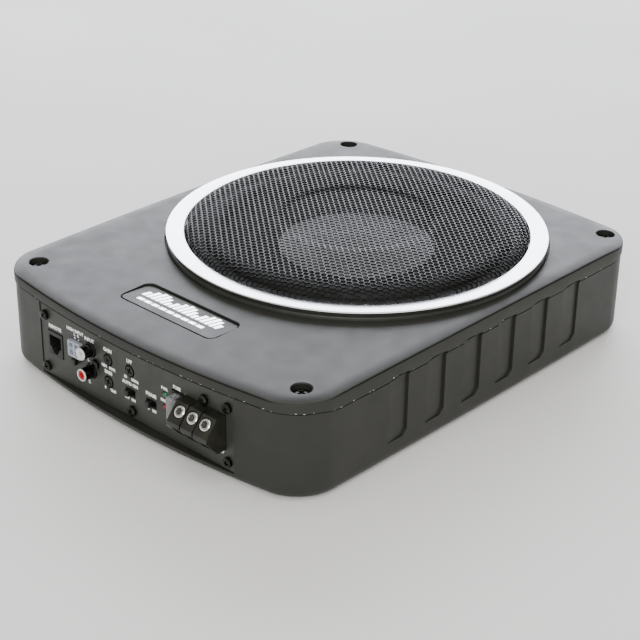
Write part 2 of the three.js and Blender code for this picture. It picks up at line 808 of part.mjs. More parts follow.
function makeSpider() {
  const upper = [];
  const lower = [];
  const waves = 3;
  const steps = waves * 2;
  for (let step = 0; step <= steps; step += 1) {
    const radius = 24 + step / steps * 34;
    const wave = step % 2 === 0 ? -0.6 : 0.6;
    upper.push([radius, 39.6 + wave]);
    lower.push([radius, 38.9 + wave]);
  }
  const profile = [[21.9, 38.9], ...lower, [64, 38.7], [64, 39.4], ...upper.reverse(), [21.9, 39.6]];
  return driverPart(profile, coilSides);
}

function makeTopPlate() {
  return driverPart([[22.2, 24], [47, 24], [47, 28], [22.2, 28]], coilSides);
}

function makeMagnet() {
  return driverPart([[27, 10.3], [50, 10.3], [50, 23.7], [27, 23.7]], coilSides);
}

function makeYoke() {
  return driverPart([
    [6, 5],
    [44, 5],
    [46, 7],
    [46, 10],
    [19.2, 10],
    [19.2, 29],
    [6, 29],
  ], coilSides);
}

function makeDriverTerminal() {
  const middleY = driverY - 83;
  return joinAll(
    block(-8, 8, middleY - 3, middleY + 3, 35, 40.5),
    block(-5.5, -4.7, middleY - 1.5, middleY + 1.5, 29, 36),
    block(4.7, 5.5, middleY - 1.5, middleY + 1.5, 29, 36),
  );
}

// Amplifier
function makeBoard() {
  return block(-board.halfX, board.halfX, board.frontY, board.backY,
    board.bottomZ, board.bottomZ + board.thickness);
}

function makeHeatSpreader() {
  return joinAll(
    block(-60, 60, -78, -60, floorThickness + touchGap, 6.5),
    block(-60, 60, -64, -60, 6, 38),
  );
}

const boardTop = board.bottomZ + board.thickness + touchGap;

function makeInductor() {
  const ring = turned([[5, 1], [6, 0], [12, 0], [13, 1], [13, 9], [12, 10], [6, 10], [5, 9]], 16);
  return ring.translate([-62, -96, boardTop]);
}

function makeCapacitor(x) {
  const can = turned([[0, 0], [8, 0], [8, 3], [7.5, 3.6], [8, 4.2], [8, 25], [0, 25]], 14);
  return can.translate([x, -96, boardTop]);
}

// Assembly
const group = new THREE.Group();
group.name = 'powered_subwoofer';

function addPart(parent, name, manifold, finish) {
  const [color, roughness, metalness] = finishes[finish];
  const material = new THREE.MeshStandardMaterial({ color, roughness, metalness });
  const mesh = new THREE.Mesh(surface(manifold), material);
  mesh.name = name;
  parent.add(mesh);
}

function addGroup(name) {
  const child = new THREE.Group();
  child.name = name;
  group.add(child);
  return child;
}

const enclosure = addGroup('enclosure');
addPart(enclosure, 'base_tray', makeBaseTray(), 'castPaint');
addPart(enclosure, 'top_cover', makeTopCover(), 'castPaint');
addPart(enclosure, 'cover_seal', makeCoverSeal(), 'foam');
addPart(enclosure, 'badge_plate', makeBadgePlate(), 'castPaint');
coverScrewYs.forEach((y, row) => {
  [-coverScrewX, coverScrewX].forEach((x, column) => {
    const screw = panScrew(4.4, 2.4, 1.9, 14, 10).translate([x, y, wellFloorZ + touchGap]);
    addPart(enclosure, `cover_screw_${row * 2 + column + 1}`, screw, 'blackSteel');
  });
});

const controls = addGroup('controls');
addPart(controls, 'control_panel', makeControlPanel(), 'panelPaint');
screwPlaces.forEach(({ x, z }, index) => {
  addPart(controls, `panel_screw_${index + 1}`, panelScrew(x, z), 'blackSteel');
});
addPart(controls, 'remote_jack', makeRemoteJack(), 'blackPlastic');
addPart(controls, 'speaker_level_socket', makeSpeakerSocket(), 'whitePlastic');
addPart(controls, 'speaker_level_latch', makeSpeakerLatch(), 'blackPlastic');
addPart(controls, 'rca_block', makeRcaBlock(), 'blackPlastic');
addPart(controls, 'rca_shell_left', makeRcaShell(rca.zs[0]), 'nickel');
addPart(controls, 'rca_shell_right', makeRcaShell(rca.zs[1]), 'nickel');
addPart(controls, 'rca_insulator_left', makeRcaInsulator(rca.zs[0]), 'whitePlastic');
addPart(controls, 'rca_insulator_right', makeRcaInsulator(rca.zs[1]), 'redPlastic');
for (const [name, place] of Object.entries(trimmers)) {
  addPart(controls, `${name}_trimmer_body`, makeTrimmerBody(place), 'blackPlastic');
  addPart(controls, `${name}_adjuster`, makeTrimmerRotor(place), 'blackPlastic');
}
for (const [name, place] of Object.entries(switches)) {
  addPart(controls, `${name}_switch_body`, makeSwitchBody(place), 'blackPlastic');
  addPart(controls, `${name}_switch_lever`, makeSwitchLever(place), 'blackPlastic');
}
addPart(controls, 'power_lamp', makeLamp(lampZs.power), 'greenLens');
addPart(controls, 'protect_lamp', makeLamp(lampZs.protect), 'redLens');
addPart(controls, 'fuse_holder', makeFuseHolder(), 'blackPlastic');
addPart(controls, 'blade_fuse', makeBladeFuse(), 'clearPlastic');
addPart(controls, 'terminal_block', makeTerminalBlock(), 'blackPlastic');
wayXs.forEach((x, index) => {
  addPart(controls, `terminal_screw_${index + 1}`, makeTerminalScrew(x), 'nickel');
});

const front = addGroup('grille_assembly');
addPart(front, 'trim_ring_base', makeTrimRingBase(), 'blackPlastic');
addPart(front, 'trim_ring_face', makeTrimRingFace(), 'silver');
addPart(front, 'grille', makeGrille(), 'grillePaint');

const driver = addGroup('driver');
addPart(driver, 'driver_basket', makeBasket(), 'blackSteel');
addPart(driver, 'surround', makeSurround(), 'rubber');
addPart(driver, 'cone', makeCone(), 'paperPulp');
addPart(driver, 'dust_cap', makeDustCap(), 'capPlastic');
addPart(driver, 'voice_coil', makeVoiceCoil(), 'copper');
addPart(driver, 'spider', makeSpider(), 'cloth');
addPart(driver, 'top_plate', makeTopPlate(), 'steel');
addPart(driver, 'magnet', makeMagnet(), 'ferrite');
addPart(driver, 'yoke', makeYoke(), 'steel');
addPart(driver, 'driver_terminal', makeDriverTerminal(), 'blackPlastic');

const amplifier = addGroup('amplifier');
addPart(amplifier, 'amplifier_board', makeBoard(), 'boardGreen');
addPart(amplifier, 'heat_spreader', makeHeatSpreader(), 'aluminium');
addPart(amplifier, 'filter_inductor', makeInductor(), 'copper');
addPart(amplifier, 'capacitor_left', makeCapacitor(18), 'sleeve');
addPart(amplifier, 'capacitor_right', makeCapacitor(40), 'sleeve');

export default group;
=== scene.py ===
import math

import bmesh
import bpy
import numpy as np
from mathutils import Matrix, Quaternion, Vector


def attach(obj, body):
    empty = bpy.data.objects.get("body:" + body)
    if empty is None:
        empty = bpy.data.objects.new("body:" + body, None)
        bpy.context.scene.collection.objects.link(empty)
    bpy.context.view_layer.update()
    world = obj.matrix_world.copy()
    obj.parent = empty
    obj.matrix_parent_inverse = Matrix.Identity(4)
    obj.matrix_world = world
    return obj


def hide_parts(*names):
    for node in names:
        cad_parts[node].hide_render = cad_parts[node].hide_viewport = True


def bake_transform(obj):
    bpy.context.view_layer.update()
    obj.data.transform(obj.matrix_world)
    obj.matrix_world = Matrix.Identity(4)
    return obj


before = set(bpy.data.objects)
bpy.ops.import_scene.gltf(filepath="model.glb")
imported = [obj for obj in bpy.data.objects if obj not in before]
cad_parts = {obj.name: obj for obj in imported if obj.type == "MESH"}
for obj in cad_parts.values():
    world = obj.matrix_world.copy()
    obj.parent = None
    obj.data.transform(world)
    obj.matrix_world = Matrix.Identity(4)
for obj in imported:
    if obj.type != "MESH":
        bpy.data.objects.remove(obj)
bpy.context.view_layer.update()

mm = 0.001
full = 2 * math.pi
driver = np.array([0.0, 32.9, 0.0])      # the loudspeaker's axis, in millimetres
panelY = -144.0                          # front face of the control panel
lidZ = 57.2                              # level of the lid at its screws
seamZ = 50.9                             # parting line between lid and tray


# Quads between neighbouring points of a grid of rows and columns; either way may join up.
def gridFaces(rows, columns, wrapRows=False, wrapColumns=True):
    r = np.arange(rows if wrapRows else rows - 1)[:, None]
    c = np.arange(columns if wrapColumns else columns - 1)[None, :]
    r2, c2 = (r + 1) % rows, (c + 1) % columns
    quads = [r * columns + c, r * columns + c2, r2 * columns + c2, r2 * columns + c]
    return np.stack(quads, axis=-1).reshape(-1, 4)


# A profile of (radius, height) carried round the Z axis.
def turnedPoints(profile, columns):
    profile = np.asarray(profile, float)
    angle = np.arange(columns) / columns * full
    x = profile[:, :1] * np.cos(angle)
    y = profile[:, :1] * np.sin(angle)
    z = np.repeat(profile[:, 1:], columns, axis=1)
    return np.stack([x, y, z], axis=-1)


# Turns points that stand along +Z so that they stand along another direction from a given foot.
def aimed(points, direction, foot):
    turn = np.array(Vector(direction).to_track_quat("Z", "Y").to_matrix())
    return np.asarray(points).reshape(-1, 3) @ turn.T + np.asarray(foot, float)


# Merges points that coincide, drops faces without area and turns all faces outwards.
def cleanMesh(mesh):
    reach = 1e-7
    work = bmesh.new()
    work.from_mesh(mesh)
    bmesh.ops.remove_doubles(work, verts=work.verts, dist=reach)
    bmesh.ops.dissolve_degenerate(work, edges=work.edges, dist=reach)
    bmesh.ops.recalc_face_normals(work, faces=work.faces)
    work.to_mesh(mesh)
    work.free()


def rawMesh(name, points, faces):
    mesh = bpy.data.meshes.new(name)
    flat = np.asarray(points, float).reshape(-1, 3) * mm
    mesh.from_pydata(flat.tolist(), [], faces.tolist() if isinstance(faces, np.ndarray) else faces)
    cleanMesh(mesh)
    return mesh


def addObject(name, data):
    obj = bpy.data.objects.new(name, data)
    bpy.context.scene.collection.objects.link(obj)
    return obj


# Gives a piece its finish, smooth faces with sharp corners and a body to ride on.
def finishPiece(obj, material, body, stands, sharpAngle=35):
    obj.data.materials.clear()
    obj.data.materials.append(material)
    obj.data.polygons.foreach_set("use_smooth", [True] * len(obj.data.polygons))
    obj.data.set_sharp_from_angle(angle=math.radians(sharpAngle))
    if body:
        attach(obj, body)
    if stands:
        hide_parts(*stands)
    return obj


def newPiece(name, points, faces, material, slotName, body="enclosure", stands=(), sharpAngle=35):
    obj = addObject(name, rawMesh(name, points, faces))
    return finishPiece(obj, material, body, stands, sharpAngle)


# A piece turned about the loudspeaker's axis.
def turnedPiece(name, profile, columns, material, slotName, wrap=True, **more):
    grid = turnedPoints(profile, columns)
    points = grid.reshape(-1, 3) + driver
    return newPiece(name, points, gridFaces(len(grid), columns, wrap), material, slotName, **more)


# A round piece that stands along a direction from its foot.
def aimedPiece(name, grid, direction, foot, material, slotName, wrap=False, **more):
    faces = gridFaces(len(grid), grid.shape[1], wrap)
    return newPiece(name, aimed(grid, direction, foot), faces, material, slotName, **more)


# Cuts a tool out of a piece.
def cutBy(obj, points, faces):
    tool = addObject("tool", rawMesh("tool", points, faces))
    cut = obj.modifiers.new("cut", "BOOLEAN")
    cut.operation = "DIFFERENCE"
    cut.solver = "EXACT"
    cut.use_self = True
    cut.object = tool
    bpy.context.view_layer.update()
    graph = bpy.context.evaluated_depsgraph_get()
    result = bpy.data.meshes.new_from_object(obj.evaluated_get(graph))
    obj.modifiers.remove(cut)
    old = obj.data
    obj.data = result
    bpy.data.meshes.remove(old)
    bpy.data.objects.remove(tool)


# A copy of a CAD node with its flat faces made whole and its edges rounded.
def refinedCopy(node, name, material, edge, body="enclosure"):
    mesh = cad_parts[node].data.copy()
    mesh.name = name
    work = bmesh.new()
    work.from_mesh(mesh)
    bmesh.ops.remove_doubles(work, verts=work.verts, dist=2e-6)
    bmesh.ops.dissolve_limit(work, angle_limit=math.radians(2), verts=work.verts, edges=work.edges)
    work.to_mesh(mesh)
    work.free()
    obj = addObject(name, mesh)
    bevel = obj.modifiers.new("edges", "BEVEL")
    bevel.width = edge * mm
    bevel.segments = 2
    bevel.limit_method = "ANGLE"
    bevel.angle_limit = math.radians(40)
    return finishPiece(obj, material, body, (node,), 40)


# A hex colour as linear red, green, blue and alpha.
def linear(hexColour):
    channels = [int(hexColour[i:i + 2], 16) / 255 for i in (1, 3, 5)]
    return [c / 12.92 if c <= 0.04045 else ((c + 0.055) / 1.055) ** 2.4 for c in channels] + [1.0]


# Adds a node, sets its properties, input values and colour stops, and links its inputs.
def addNode(tree, kind, settings=None, values=None, links=None, stops=()):
    node = tree.nodes.new("ShaderNode" + kind)
    for key, value in (settings or {}).items():
        setattr(node, key, value)
    for key, value in (values or {}).items():
        node.inputs[key].default_value = value
    for key, socket in (links or {}).items():
        tree.links.new(socket, node.inputs[key])
    for index, (position, colour) in enumerate(stops):
        while len(node.color_ramp.elements) <= index:
            node.color_ramp.elements.new(1.0)
        node.color_ramp.elements[index].position = position
        node.color_ramp.elements[index].color = colour
    return node


def startMaterial(name, values):
    material = bpy.data.materials.new(name)
    material.use_nodes = True
    tree = material.node_tree
    shader = tree.nodes["Principled BSDF"]
    for key, value in values.items():
        shader.inputs[key].default_value = value
    place = addNode(tree, "TexCoord").outputs["Object"]
    return material, tree, shader, place


# Noise settings for blotches about as wide as size, in millimetres.
def blotch(size, detail=2.0):
    return {"Scale": 1 / (size * mm), "Detail": detail}


def grey(value):
    return [value, value, value, 1.0]


# A finish with a slightly mottled colour, an uneven gloss and a fine surface texture.
def mottled(name, settings):
    values = {"Metallic": settings.get("metal", 0.0)}
    values.update(settings.get("extra", {}))
    material, tree, shader, place = startMaterial(name, values)
    low, high = settings["rough"]
    patches = addNode(tree, "TexNoise", None, blotch(settings["patch"], 3.0),
                      {"Vector": place})
    tint = addNode(tree, "ValToRGB", None, None, {"Fac": patches.outputs["Fac"]},
                   [(0.35, linear(settings["dark"])), (0.65, linear(settings["light"]))])
    smears = addNode(tree, "TexNoise", None, blotch(settings["patch"] * 0.6),
                     {"Vector": place})
    gloss = addNode(tree, "ValToRGB", None, None, {"Fac": smears.outputs["Fac"]},
                    [(0.3, grey(low)), (0.7, grey(high))])
    grain = addNode(tree, "TexNoise", None, blotch(settings["grain"]), {"Vector": place})
    bump = addNode(tree, "Bump", None, {"Distance": settings["depth"] * mm},
                   {"Height": grain.outputs["Fac"]})
    tree.links.new(tint.outputs["Color"], shader.inputs["Base Color"])
    tree.links.new(gloss.outputs["Color"], shader.inputs["Roughness"])
    tree.links.new(bump.outputs["Normal"], shader.inputs["Normal"])
    return material


materials = {}


# Die-cast aluminium under satin charcoal powder coat: a fine orange-peel that scatters light.
# Chips show as pale specks along the parting line, which runs lower on the long sides.
def castCoat():
    settings = {"dark": "#272823", "light": "#2e2e2a", "worn": "#c9c9c0", "patch": 30, "grain": 0.9,
                "band": 0.55, "chip": 2.0, "chipAbove": 0.655, "rough": (0.43, 0.5), "smear": 12,
                "depth": 0.035, "flankX": 117.5, "flankDrop": 1.5}
    values = {"Metallic": 0.0, "IOR": 1.5, "Specular IOR Level": 0.34}
    material, tree, shader, place = startMaterial("castCoat", values)
    patches = addNode(tree, "TexNoise", None, blotch(settings["patch"], 3.0),
                      {"Vector": place})
    coat = addNode(tree, "ValToRGB", None, None, {"Fac": patches.outputs["Fac"]},
                   [(0.3, linear(settings["dark"])), (0.7, linear(settings["light"]))])
    spot = addNode(tree, "SeparateXYZ", None, None, {"Vector": place})
    across = addNode(tree, "Math", {"operation": "ABSOLUTE"}, None, {0: spot.outputs["X"]})
    flank = addNode(tree, "Math", {"operation": "GREATER_THAN"}, {1: settings["flankX"] * mm},
                    {0: across.outputs[0]})
    level = addNode(tree, "Math", {"operation": "MULTIPLY_ADD"},
                    {1: -settings["flankDrop"] * mm, 2: seamZ * mm}, {0: flank.outputs[0]})
    near = addNode(tree, "Math", {"operation": "COMPARE"}, {2: settings["band"] * mm},
                   {0: spot.outputs["Z"], 1: level.outputs[0]})
    specks = addNode(tree, "TexNoise", None, blotch(settings["chip"], 1.0),
                     {"Vector": place})
    chips = addNode(tree, "Math", {"operation": "GREATER_THAN"}, {1: settings["chipAbove"]},
                    {0: specks.outputs["Fac"]})
    worn = addNode(tree, "Math", {"operation": "MULTIPLY"}, None,
                   {0: near.outputs[0], 1: chips.outputs[0]})
    mixed = addNode(tree, "Mix", {"data_type": "RGBA"}, {7: linear(settings["worn"])},
                    {0: worn.outputs[0], 6: coat.outputs["Color"]})
    low, high = settings["rough"]
    smears = addNode(tree, "TexNoise", None, blotch(settings["smear"]), {"Vector": place})
    gloss = addNode(tree, "ValToRGB", None, None, {"Fac": smears.outputs["Fac"]},
                    [(0.3, grey(low)), (0.7, grey(high))])
    peel = addNode(tree, "TexNoise", None, blotch(settings["grain"], 3.0),
                   {"Vector": place})
    bump = addNode(tree, "Bump", None, {"Distance": settings["depth"] * mm},
                   {"Height": peel.outputs["Fac"]})
    tree.links.new(mixed.outputs[2], shader.inputs["Base Color"])
    tree.links.new(gloss.outputs["Color"], shader.inputs["Roughness"])
    tree.links.new(bump.outputs["Normal"], shader.inputs["Normal"])
    return material


materials["castCoat"] = castCoat()


# Bright anodised aluminium: fine turning lines run round the ring.
def turnedAluminium():
    values = {"Metallic": 1.0, "Base Color": linear("#fafafb")}
    material, tree, shader, place = startMaterial("turnedAluminium", values)
    centred = addNode(tree, "Mapping", {"vector_type": "POINT"},
                      {"Location": -Vector(driver) * mm}, {"Vector": place})
    flat = addNode(tree, "VectorMath", {"operation": "MULTIPLY"}, {1: (1, 1, 0)},
                   {0: centred.outputs[0]})
    radius = addNode(tree, "VectorMath", {"operation": "LENGTH"}, None,
                     {0: flat.outputs[0]})
    lines = addNode(tree, "TexNoise", {"noise_dimensions": "1D"}, blotch(0.35),
                    {"W": radius.outputs["Value"]})
    gloss = addNode(tree, "ValToRGB", None, None, {"Fac": lines.outputs["Fac"]},
                    [(0.3, grey(0.2)), (0.7, grey(0.28))])
    bump = addNode(tree, "Bump", None, {"Distance": 0.004 * mm},
                   {"Height": lines.outputs["Fac"]})
    tree.links.new(gloss.outputs["Color"], shader.inputs["Roughness"])
    tree.links.new(bump.outputs["Normal"], shader.inputs["Normal"])
    return material


materials["ring"] = turnedAluminium()

# Perforated steel with a thin glossy black coat, which glints on its strands.
materials["grille"] = mottled("grillePowderCoat", {
    "dark": "#282926", "light": "#31322f", "rough": (0.18, 0.28), "patch": 9,
    "grain": 0.5, "depth": 0.01, "metal": 1.0
})

# Smooth black paint on the sheet-steel panel.
materials["panel"] = mottled("panelPaint", {
    "dark": "#2d2e29", "light": "#363732", "rough": (0.42, 0.52), "patch": 14,
    "grain": 0.8, "depth": 0.015
})

# Injection-moulded black ABS.
materials["black"] = mottled("blackAbs", {
    "dark": "#0c0c0c", "light": "#131312", "rough": (0.36, 0.48), "patch": 6,
    "grain": 0.6, "depth": 0.01
})

# Black-oxide screw steel, slightly oily.
materials["screw"] = mottled("blackOxideSteel", {
    "dark": "#2a2a2a", "light": "#3c3c3b", "rough": (0.2, 0.32), "patch": 3,
    "grain": 0.4, "depth": 0.008, "metal": 1.0
})

# White nylon of the input rims and one insulator; light passes a little way in.
materials["white"] = mottled("whiteNylon", {
    "dark": "#d9dad4", "light": "#ecece8", "rough": (0.3, 0.42), "patch": 4,
    "grain": 0.7, "depth": 0.008,
    "extra": {"Subsurface Weight": 0.25, "Subsurface Scale": 0.002}
})

# Red moulded insulator of the other input.
materials["red"] = mottled("redAbs", {
    "dark": "#b3161b", "light": "#c92327", "rough": (0.3, 0.4), "patch": 4,
    "grain": 0.7, "depth": 0.008
})

# Nickel plate on turned brass.
materials["nickel"] = mottled("nickelPlate", {
    "dark": "#dcdbd2", "light": "#f4f3ea", "rough": (0.1, 0.2), "patch": 2.5,
    "grain": 0.5, "depth": 0.006, "metal": 1.0
})

# Nickel plate of the input barrels, coloured near black: painted reflection of the dark panel and
# surroundings.
materials["nickelPaintedDark"] = mottled("nickelPlateDarkReflection", {
    "dark": "#2c2b29", "light": "#474642", "rough": (0.18, 0.3), "patch": 3,
    "grain": 0.5, "depth": 0.006, "metal": 1.0
})

# Dyed pressed pulp: soft fibres, no gloss.
materials["pulp"] = mottled("pressedPulp", {
    "dark": "#111112", "light": "#1c1c1d", "rough": (0.75, 0.9), "patch": 5,
    "grain": 0.8, "depth": 0.06
})

# Satin grey polypropylene dust cap.
materials["cap"] = mottled("greyPolypropylene", {
    "dark": "#77797b", "light": "#858789", "rough": (0.35, 0.45), "patch": 12,
    "grain": 1.0, "depth": 0.01
})

# Butyl rubber: matte, a little dusty.
materials["rubber"] = mottled("butylRubber", {
    "dark": "#161616", "light": "#202020", "rough": (0.6, 0.75), "patch": 8,
    "grain": 0.6, "depth": 0.02
})

# Closed-cell foam of the seal.
materials["foam"] = mottled("closedCellFoam", {
    "dark": "#161616", "light": "#222222", "rough": (0.9, 1.0), "patch": 3,
    "grain": 0.5, "depth": 0.15
})

# Zinc-plated low-carbon steel.
materials["zinc"] = mottled("zincPlatedSteel", {
    "dark": "#8f9499", "light": "#adb2b6", "rough": (0.25, 0.4), "patch": 7,
    "grain": 1.2, "depth": 0.01, "metal": 1.0
})

# Sintered ferrite: dark, dry and slightly granular.
materials["ferrite"] = mottled("sinteredFerrite", {
    "dark": "#232326", "light": "#313135", "rough": (0.6, 0.75), "patch": 5,
    "grain": 0.7, "depth": 0.05
})

# Mill-finish extruded aluminium.
materials["mill"] = mottled("millAluminium", {
    "dark": "#a9adb0", "light": "#c1c5c8", "rough": (0.3, 0.42), "patch": 10,
    "grain": 1.0, "depth": 0.015, "metal": 1.0
})

# Green solder mask over glass-fibre laminate.
materials["laminate"] = mottled("solderMask", {
    "dark": "#17512f", "light": "#20693c", "rough": (0.25, 0.35), "patch": 8,
    "grain": 1.5, "depth": 0.02
})

# Blue shrink sleeve of a capacitor.
materials["sleeve"] = mottled("shrinkSleeve", {
    "dark": "#182650", "light": "#20306a", "rough": (0.22, 0.32), "patch": 6,
    "grain": 2.0, "depth": 0.02
})

# Powder-coated pressed steel of the basket.
materials["basket"] = mottled("basketPowderCoat", {
    "dark": "#121213", "light": "#1c1c1d", "rough": (0.4, 0.55), "patch": 10,
    "grain": 0.8, "depth": 0.03
})

# Clear polycarbonate of the fuse: nearly colourless, glossy, a little scuffed.
materials["clear"] = mottled("clearPolycarbonate", {
    "dark": "#eff3f3", "light": "#fdfefe", "rough": (0.05, 0.16), "patch": 3,
    "grain": 1.5, "depth": 0.01, "extra": {"Transmission Weight": 0.85, "IOR": 1.5}
})

# Translucent nylon of the plug-in header, slightly blue.
materials["header"] = mottled("translucentNylon", {
    "dark": "#b4bcc9", "light": "#cdd3dc", "rough": (0.25, 0.36), "patch": 4,
    "grain": 0.7, "depth": 0.008, "extra": {"Transmission Weight": 0.3, "IOR": 1.53}
})

# Olive-black phenolic of the power terminal block.
materials["phenolic"] = mottled("blackPhenolic", {
    "dark": "#191a15", "light": "#27271f", "rough": (0.3, 0.42), "patch": 6,
    "grain": 0.6, "depth": 0.01
})

# Tinted epoxy lamp lenses, unlit.
materials["greenLens"] = mottled("greenEpoxy", {
    "dark": "#0f5c38", "light": "#2a8f60", "rough": (0.12, 0.22), "patch": 2,
    "grain": 0.8, "depth": 0.004,
    "extra": {"Transmission Weight": 0.2, "IOR": 1.5, "Coat Weight": 0.4}
})
materials["redLens"] = mottled("redEpoxy", {
    "dark": "#7d0a20", "light": "#ab1832", "rough": (0.12, 0.22), "patch": 2,
    "grain": 0.8, "depth": 0.004,
    "extra": {"Transmission Weight": 0.2, "IOR": 1.5, "Coat Weight": 0.4}
})

# White screen-printing ink.
materials["ink"] = mottled("whiteInk", {
    "dark": "#f2f3f4", "light": "#fbfbfb", "rough": (0.45, 0.6), "patch": 2,
    "grain": 0.6, "depth": 0.004
})


# Enamelled copper wire: round turns 0.5 mm apart.
def copperWinding():
    values = {"Metallic": 1.0, "Roughness": 0.3}
    material, tree, shader, place = startMaterial("copperWinding", values)
    patches = addNode(tree, "TexNoise", None, blotch(4), {"Vector": place})
    tint = addNode(tree, "ValToRGB", None, None, {"Fac": patches.outputs["Fac"]},
                   [(0.3, linear("#8a4a20")), (0.7, linear("#b0662f"))])
    turns = addNode(tree, "TexWave", {"wave_type": "BANDS", "bands_direction": "Z"},
                    {"Scale": full / (20 * 0.5 * mm), "Distortion": 0.3}, {"Vector": place})
    bump = addNode(tree, "Bump", None, {"Distance": 0.15 * mm},
                   {"Height": turns.outputs["Fac"]})
    tree.links.new(tint.outputs["Color"], shader.inputs["Base Color"])
    tree.links.new(bump.outputs["Normal"], shader.inputs["Normal"])
    return material


materials["copper"] = copperWinding()


# Phenolic-dipped cotton: a plain weave with threads 0.8 mm apart.
def dippedCotton():
    material, tree, shader, place = startMaterial("dippedCotton", {"Roughness": 0.9})
    patches = addNode(tree, "TexNoise", None, blotch(6), {"Vector": place})
    tint = addNode(tree, "ValToRGB", None, None, {"Fac": patches.outputs["Fac"]},
                   [(0.3, linear("#a98443")), (0.7, linear("#c8a35c"))])
    threads = [addNode(tree, "TexWave", {"bands_direction": way},
                       {"Scale": full / (20 * 0.8 * mm)}, {"Vector": place}) for way in ("X", "Y")]
    weave = addNode(tree, "Math", {"operation": "MULTIPLY"}, None,
                    {0: threads[0].outputs["Fac"], 1: threads[1].outputs["Fac"]})
    bump = addNode(tree, "Bump", None, {"Distance": 0.2 * mm}, {"Height": weave.outputs[0]})
    tree.links.new(tint.outputs["Color"], shader.inputs["Base Color"])
    tree.links.new(bump.outputs["Normal"], shader.inputs["Normal"])
    return material


materials["cotton"] = dippedCotton()

# Pale studio floor, faintly uneven so that it isn't a flat colour.
materials["floor"] = mottled("paleFloor", {
    "dark": "#f6f5f2", "light": "#fcfbf9", "rough": (0.55, 0.65), "patch": 400,
    "grain": 40, "depth": 0.02
})
print("materials made")


body = {
    "halfX": 120.8, "halfY": 143.9, "middleY": 5.75, "corner": 22.6,
    "frontBow": 12.0, "backBow": 7.9, "sideBow": 1.0,
    "crownFoot": 58.2, "crownRise": 1.0, "crownMiddle": 12.0, "crownHalf": 130.0,
    "cornerSteps": 20, "longSteps": 60, "shortSteps": 56,
    "edgeRoll": 0.9, "edgeWidth": 8.0, "sideDrop": 1.8,
}


# The enclosure's outline: a rounded rectangle whose sides are each pushed out by a parabola.
def outline(inset):
    halfX, halfY = body["halfX"] - inset, body["halfY"] - inset
    radius = max(body["corner"] - inset, 1.0)
    sides = []
    signs = [(1, -1), (1, 1), (-1, 1), (-1, -1)]
    for index, (signX, signY) in enumerate(signs):
        angle = (index - 1 + np.linspace(0, 1, body["cornerSteps"])) * math.pi / 2
        centre = np.array([signX * (halfX - radius), signY * (halfY - radius)])
        arc = centre + radius * np.stack([np.cos(angle), np.sin(angle)], axis=-1)
        following = np.array(signs[(index + 1) % 4]) * (halfX - radius, halfY - radius)
        goal = following + radius * np.array([math.cos(angle[-1]), math.sin(angle[-1])])
        steps = body["longSteps"] if index % 2 == 0 else body["shortSteps"]
        share = np.linspace(0, 1, steps)[1:-1, None]
        sides += [arc, arc[-1] + (goal - arc[-1]) * share]
    x, y = np.concatenate(sides).T
    endBow = np.where(y < 0, body["frontBow"], body["backBow"])
    outX = np.sign(x) * body["sideBow"] * (1 - (y / halfY) ** 2) * np.abs(x / halfX) ** 6
    outY = np.sign(y) * endBow * (1 - (x / halfX) ** 2) * np.abs(y / halfY) ** 6
    return np.stack([x + outX, y + outY + body["middleY"]], axis=-1)


# Height of the lid, which arches from front to back.
def crown(y):
    rise = body["crownRise"] * (1 - ((y - body["crownMiddle"]) / body["crownHalf"]) ** 2)
    return body["crownFoot"] + rise


# A flat-sided tool through an outline of (a, b) points, between two depths.
def prismTool(near, far):
    near, far = np.asarray(near, float), np.asarray(far, float)
    count = len(near)
    faces = [list(range(count)), list(range(2 * count - 1, count - 1, -1))]
    faces += [[i, i + count, (i + 1) % count + count, (i + 1) % count] for i in range(count)]
    return np.concatenate([near, far]), faces


# Several closed shapes as one mesh.
def joinedTools(tools):
    points, faces, start = [], [], 0
    for toolPoints, toolFaces in tools:
        points.append(np.asarray(toolPoints, float))
        faces += [[index + start for index in face] for face in toolFaces]
        start += len(toolPoints)
    return np.concatenate(points), faces


def boxTool(low, high):
    x0, y0, z0 = low
    x1, y1, z1 = high
    base = [(x0, y0), (x1, y0), (x1, y1), (x0, y1)]
    return prismTool([(x, y, z0) for x, y in base], [(x, y, z1) for x, y in base])


pocket = {
    "count": 6, "firstY": -60.1, "pitch": 30.2, "width": 15.0, "lowZ": 11.9,
    "shallow": 0.3, "deep": 1.4, "chamfer": 3.2, "topRise": 2.0, "topEnd": 1.2, "wallX": 121.0,
    "topZ": 60.0, "notchLowZ": 45.0, "notchX": 121.6, "notchDeeper": 0.9,
}


# The ends of a pocket along Y and how fast its floor slants.
def pocketSpan(index):
    far = pocket["firstY"] + index * pocket["pitch"]
    return far - pocket["width"], far, (pocket["deep"] - pocket["shallow"]) / pocket["width"]


# One pocket of a long wall: its floor slants inwards towards +Y and one low corner is cut off.
def pocketTool(sign, index):
    near, far, slope = pocketSpan(index)
    low, cut, top, wall = pocket["lowZ"], pocket["chamfer"], pocket["topZ"], pocket["wallX"]
    side = [(near, low), (far - cut, low), (far, low + cut), (far, top), (near, top)]
    inner = [(sign * (wall - pocket["shallow"] - slope * (y - near)), y, z) for y, z in side]
    outer = [(sign * (wall + 5), y, z) for y, z in side]
    return prismTool(inner, outer)


# The top of a pocket in the lid's rim: it rises at 45 degrees at the -Y end and then falls slowly.
def notchTool(sign, index):
    near, far, slope = pocketSpan(index)
    rise, end = pocket["topRise"], pocket["topEnd"]
    low, wall = pocket["notchLowZ"], pocket["notchX"]
    level = seamZ - body["sideDrop"]
    deep = pocket["shallow"] + pocket["notchDeeper"]
    side = [(near, low), (far, low), (far, level + end), (near + rise, level + rise), (near, level)]
    inner = [(sign * (wall - deep - slope * (y - near)), y, z) for y, z in side]
    outer = [(sign * (wall + 5), y, z) for y, z in side]
    return prismTool(inner, outer)


seamFade = {"endGap": 14, "endWidth": 12, "sideGap": 6, "sideWidth": 5}


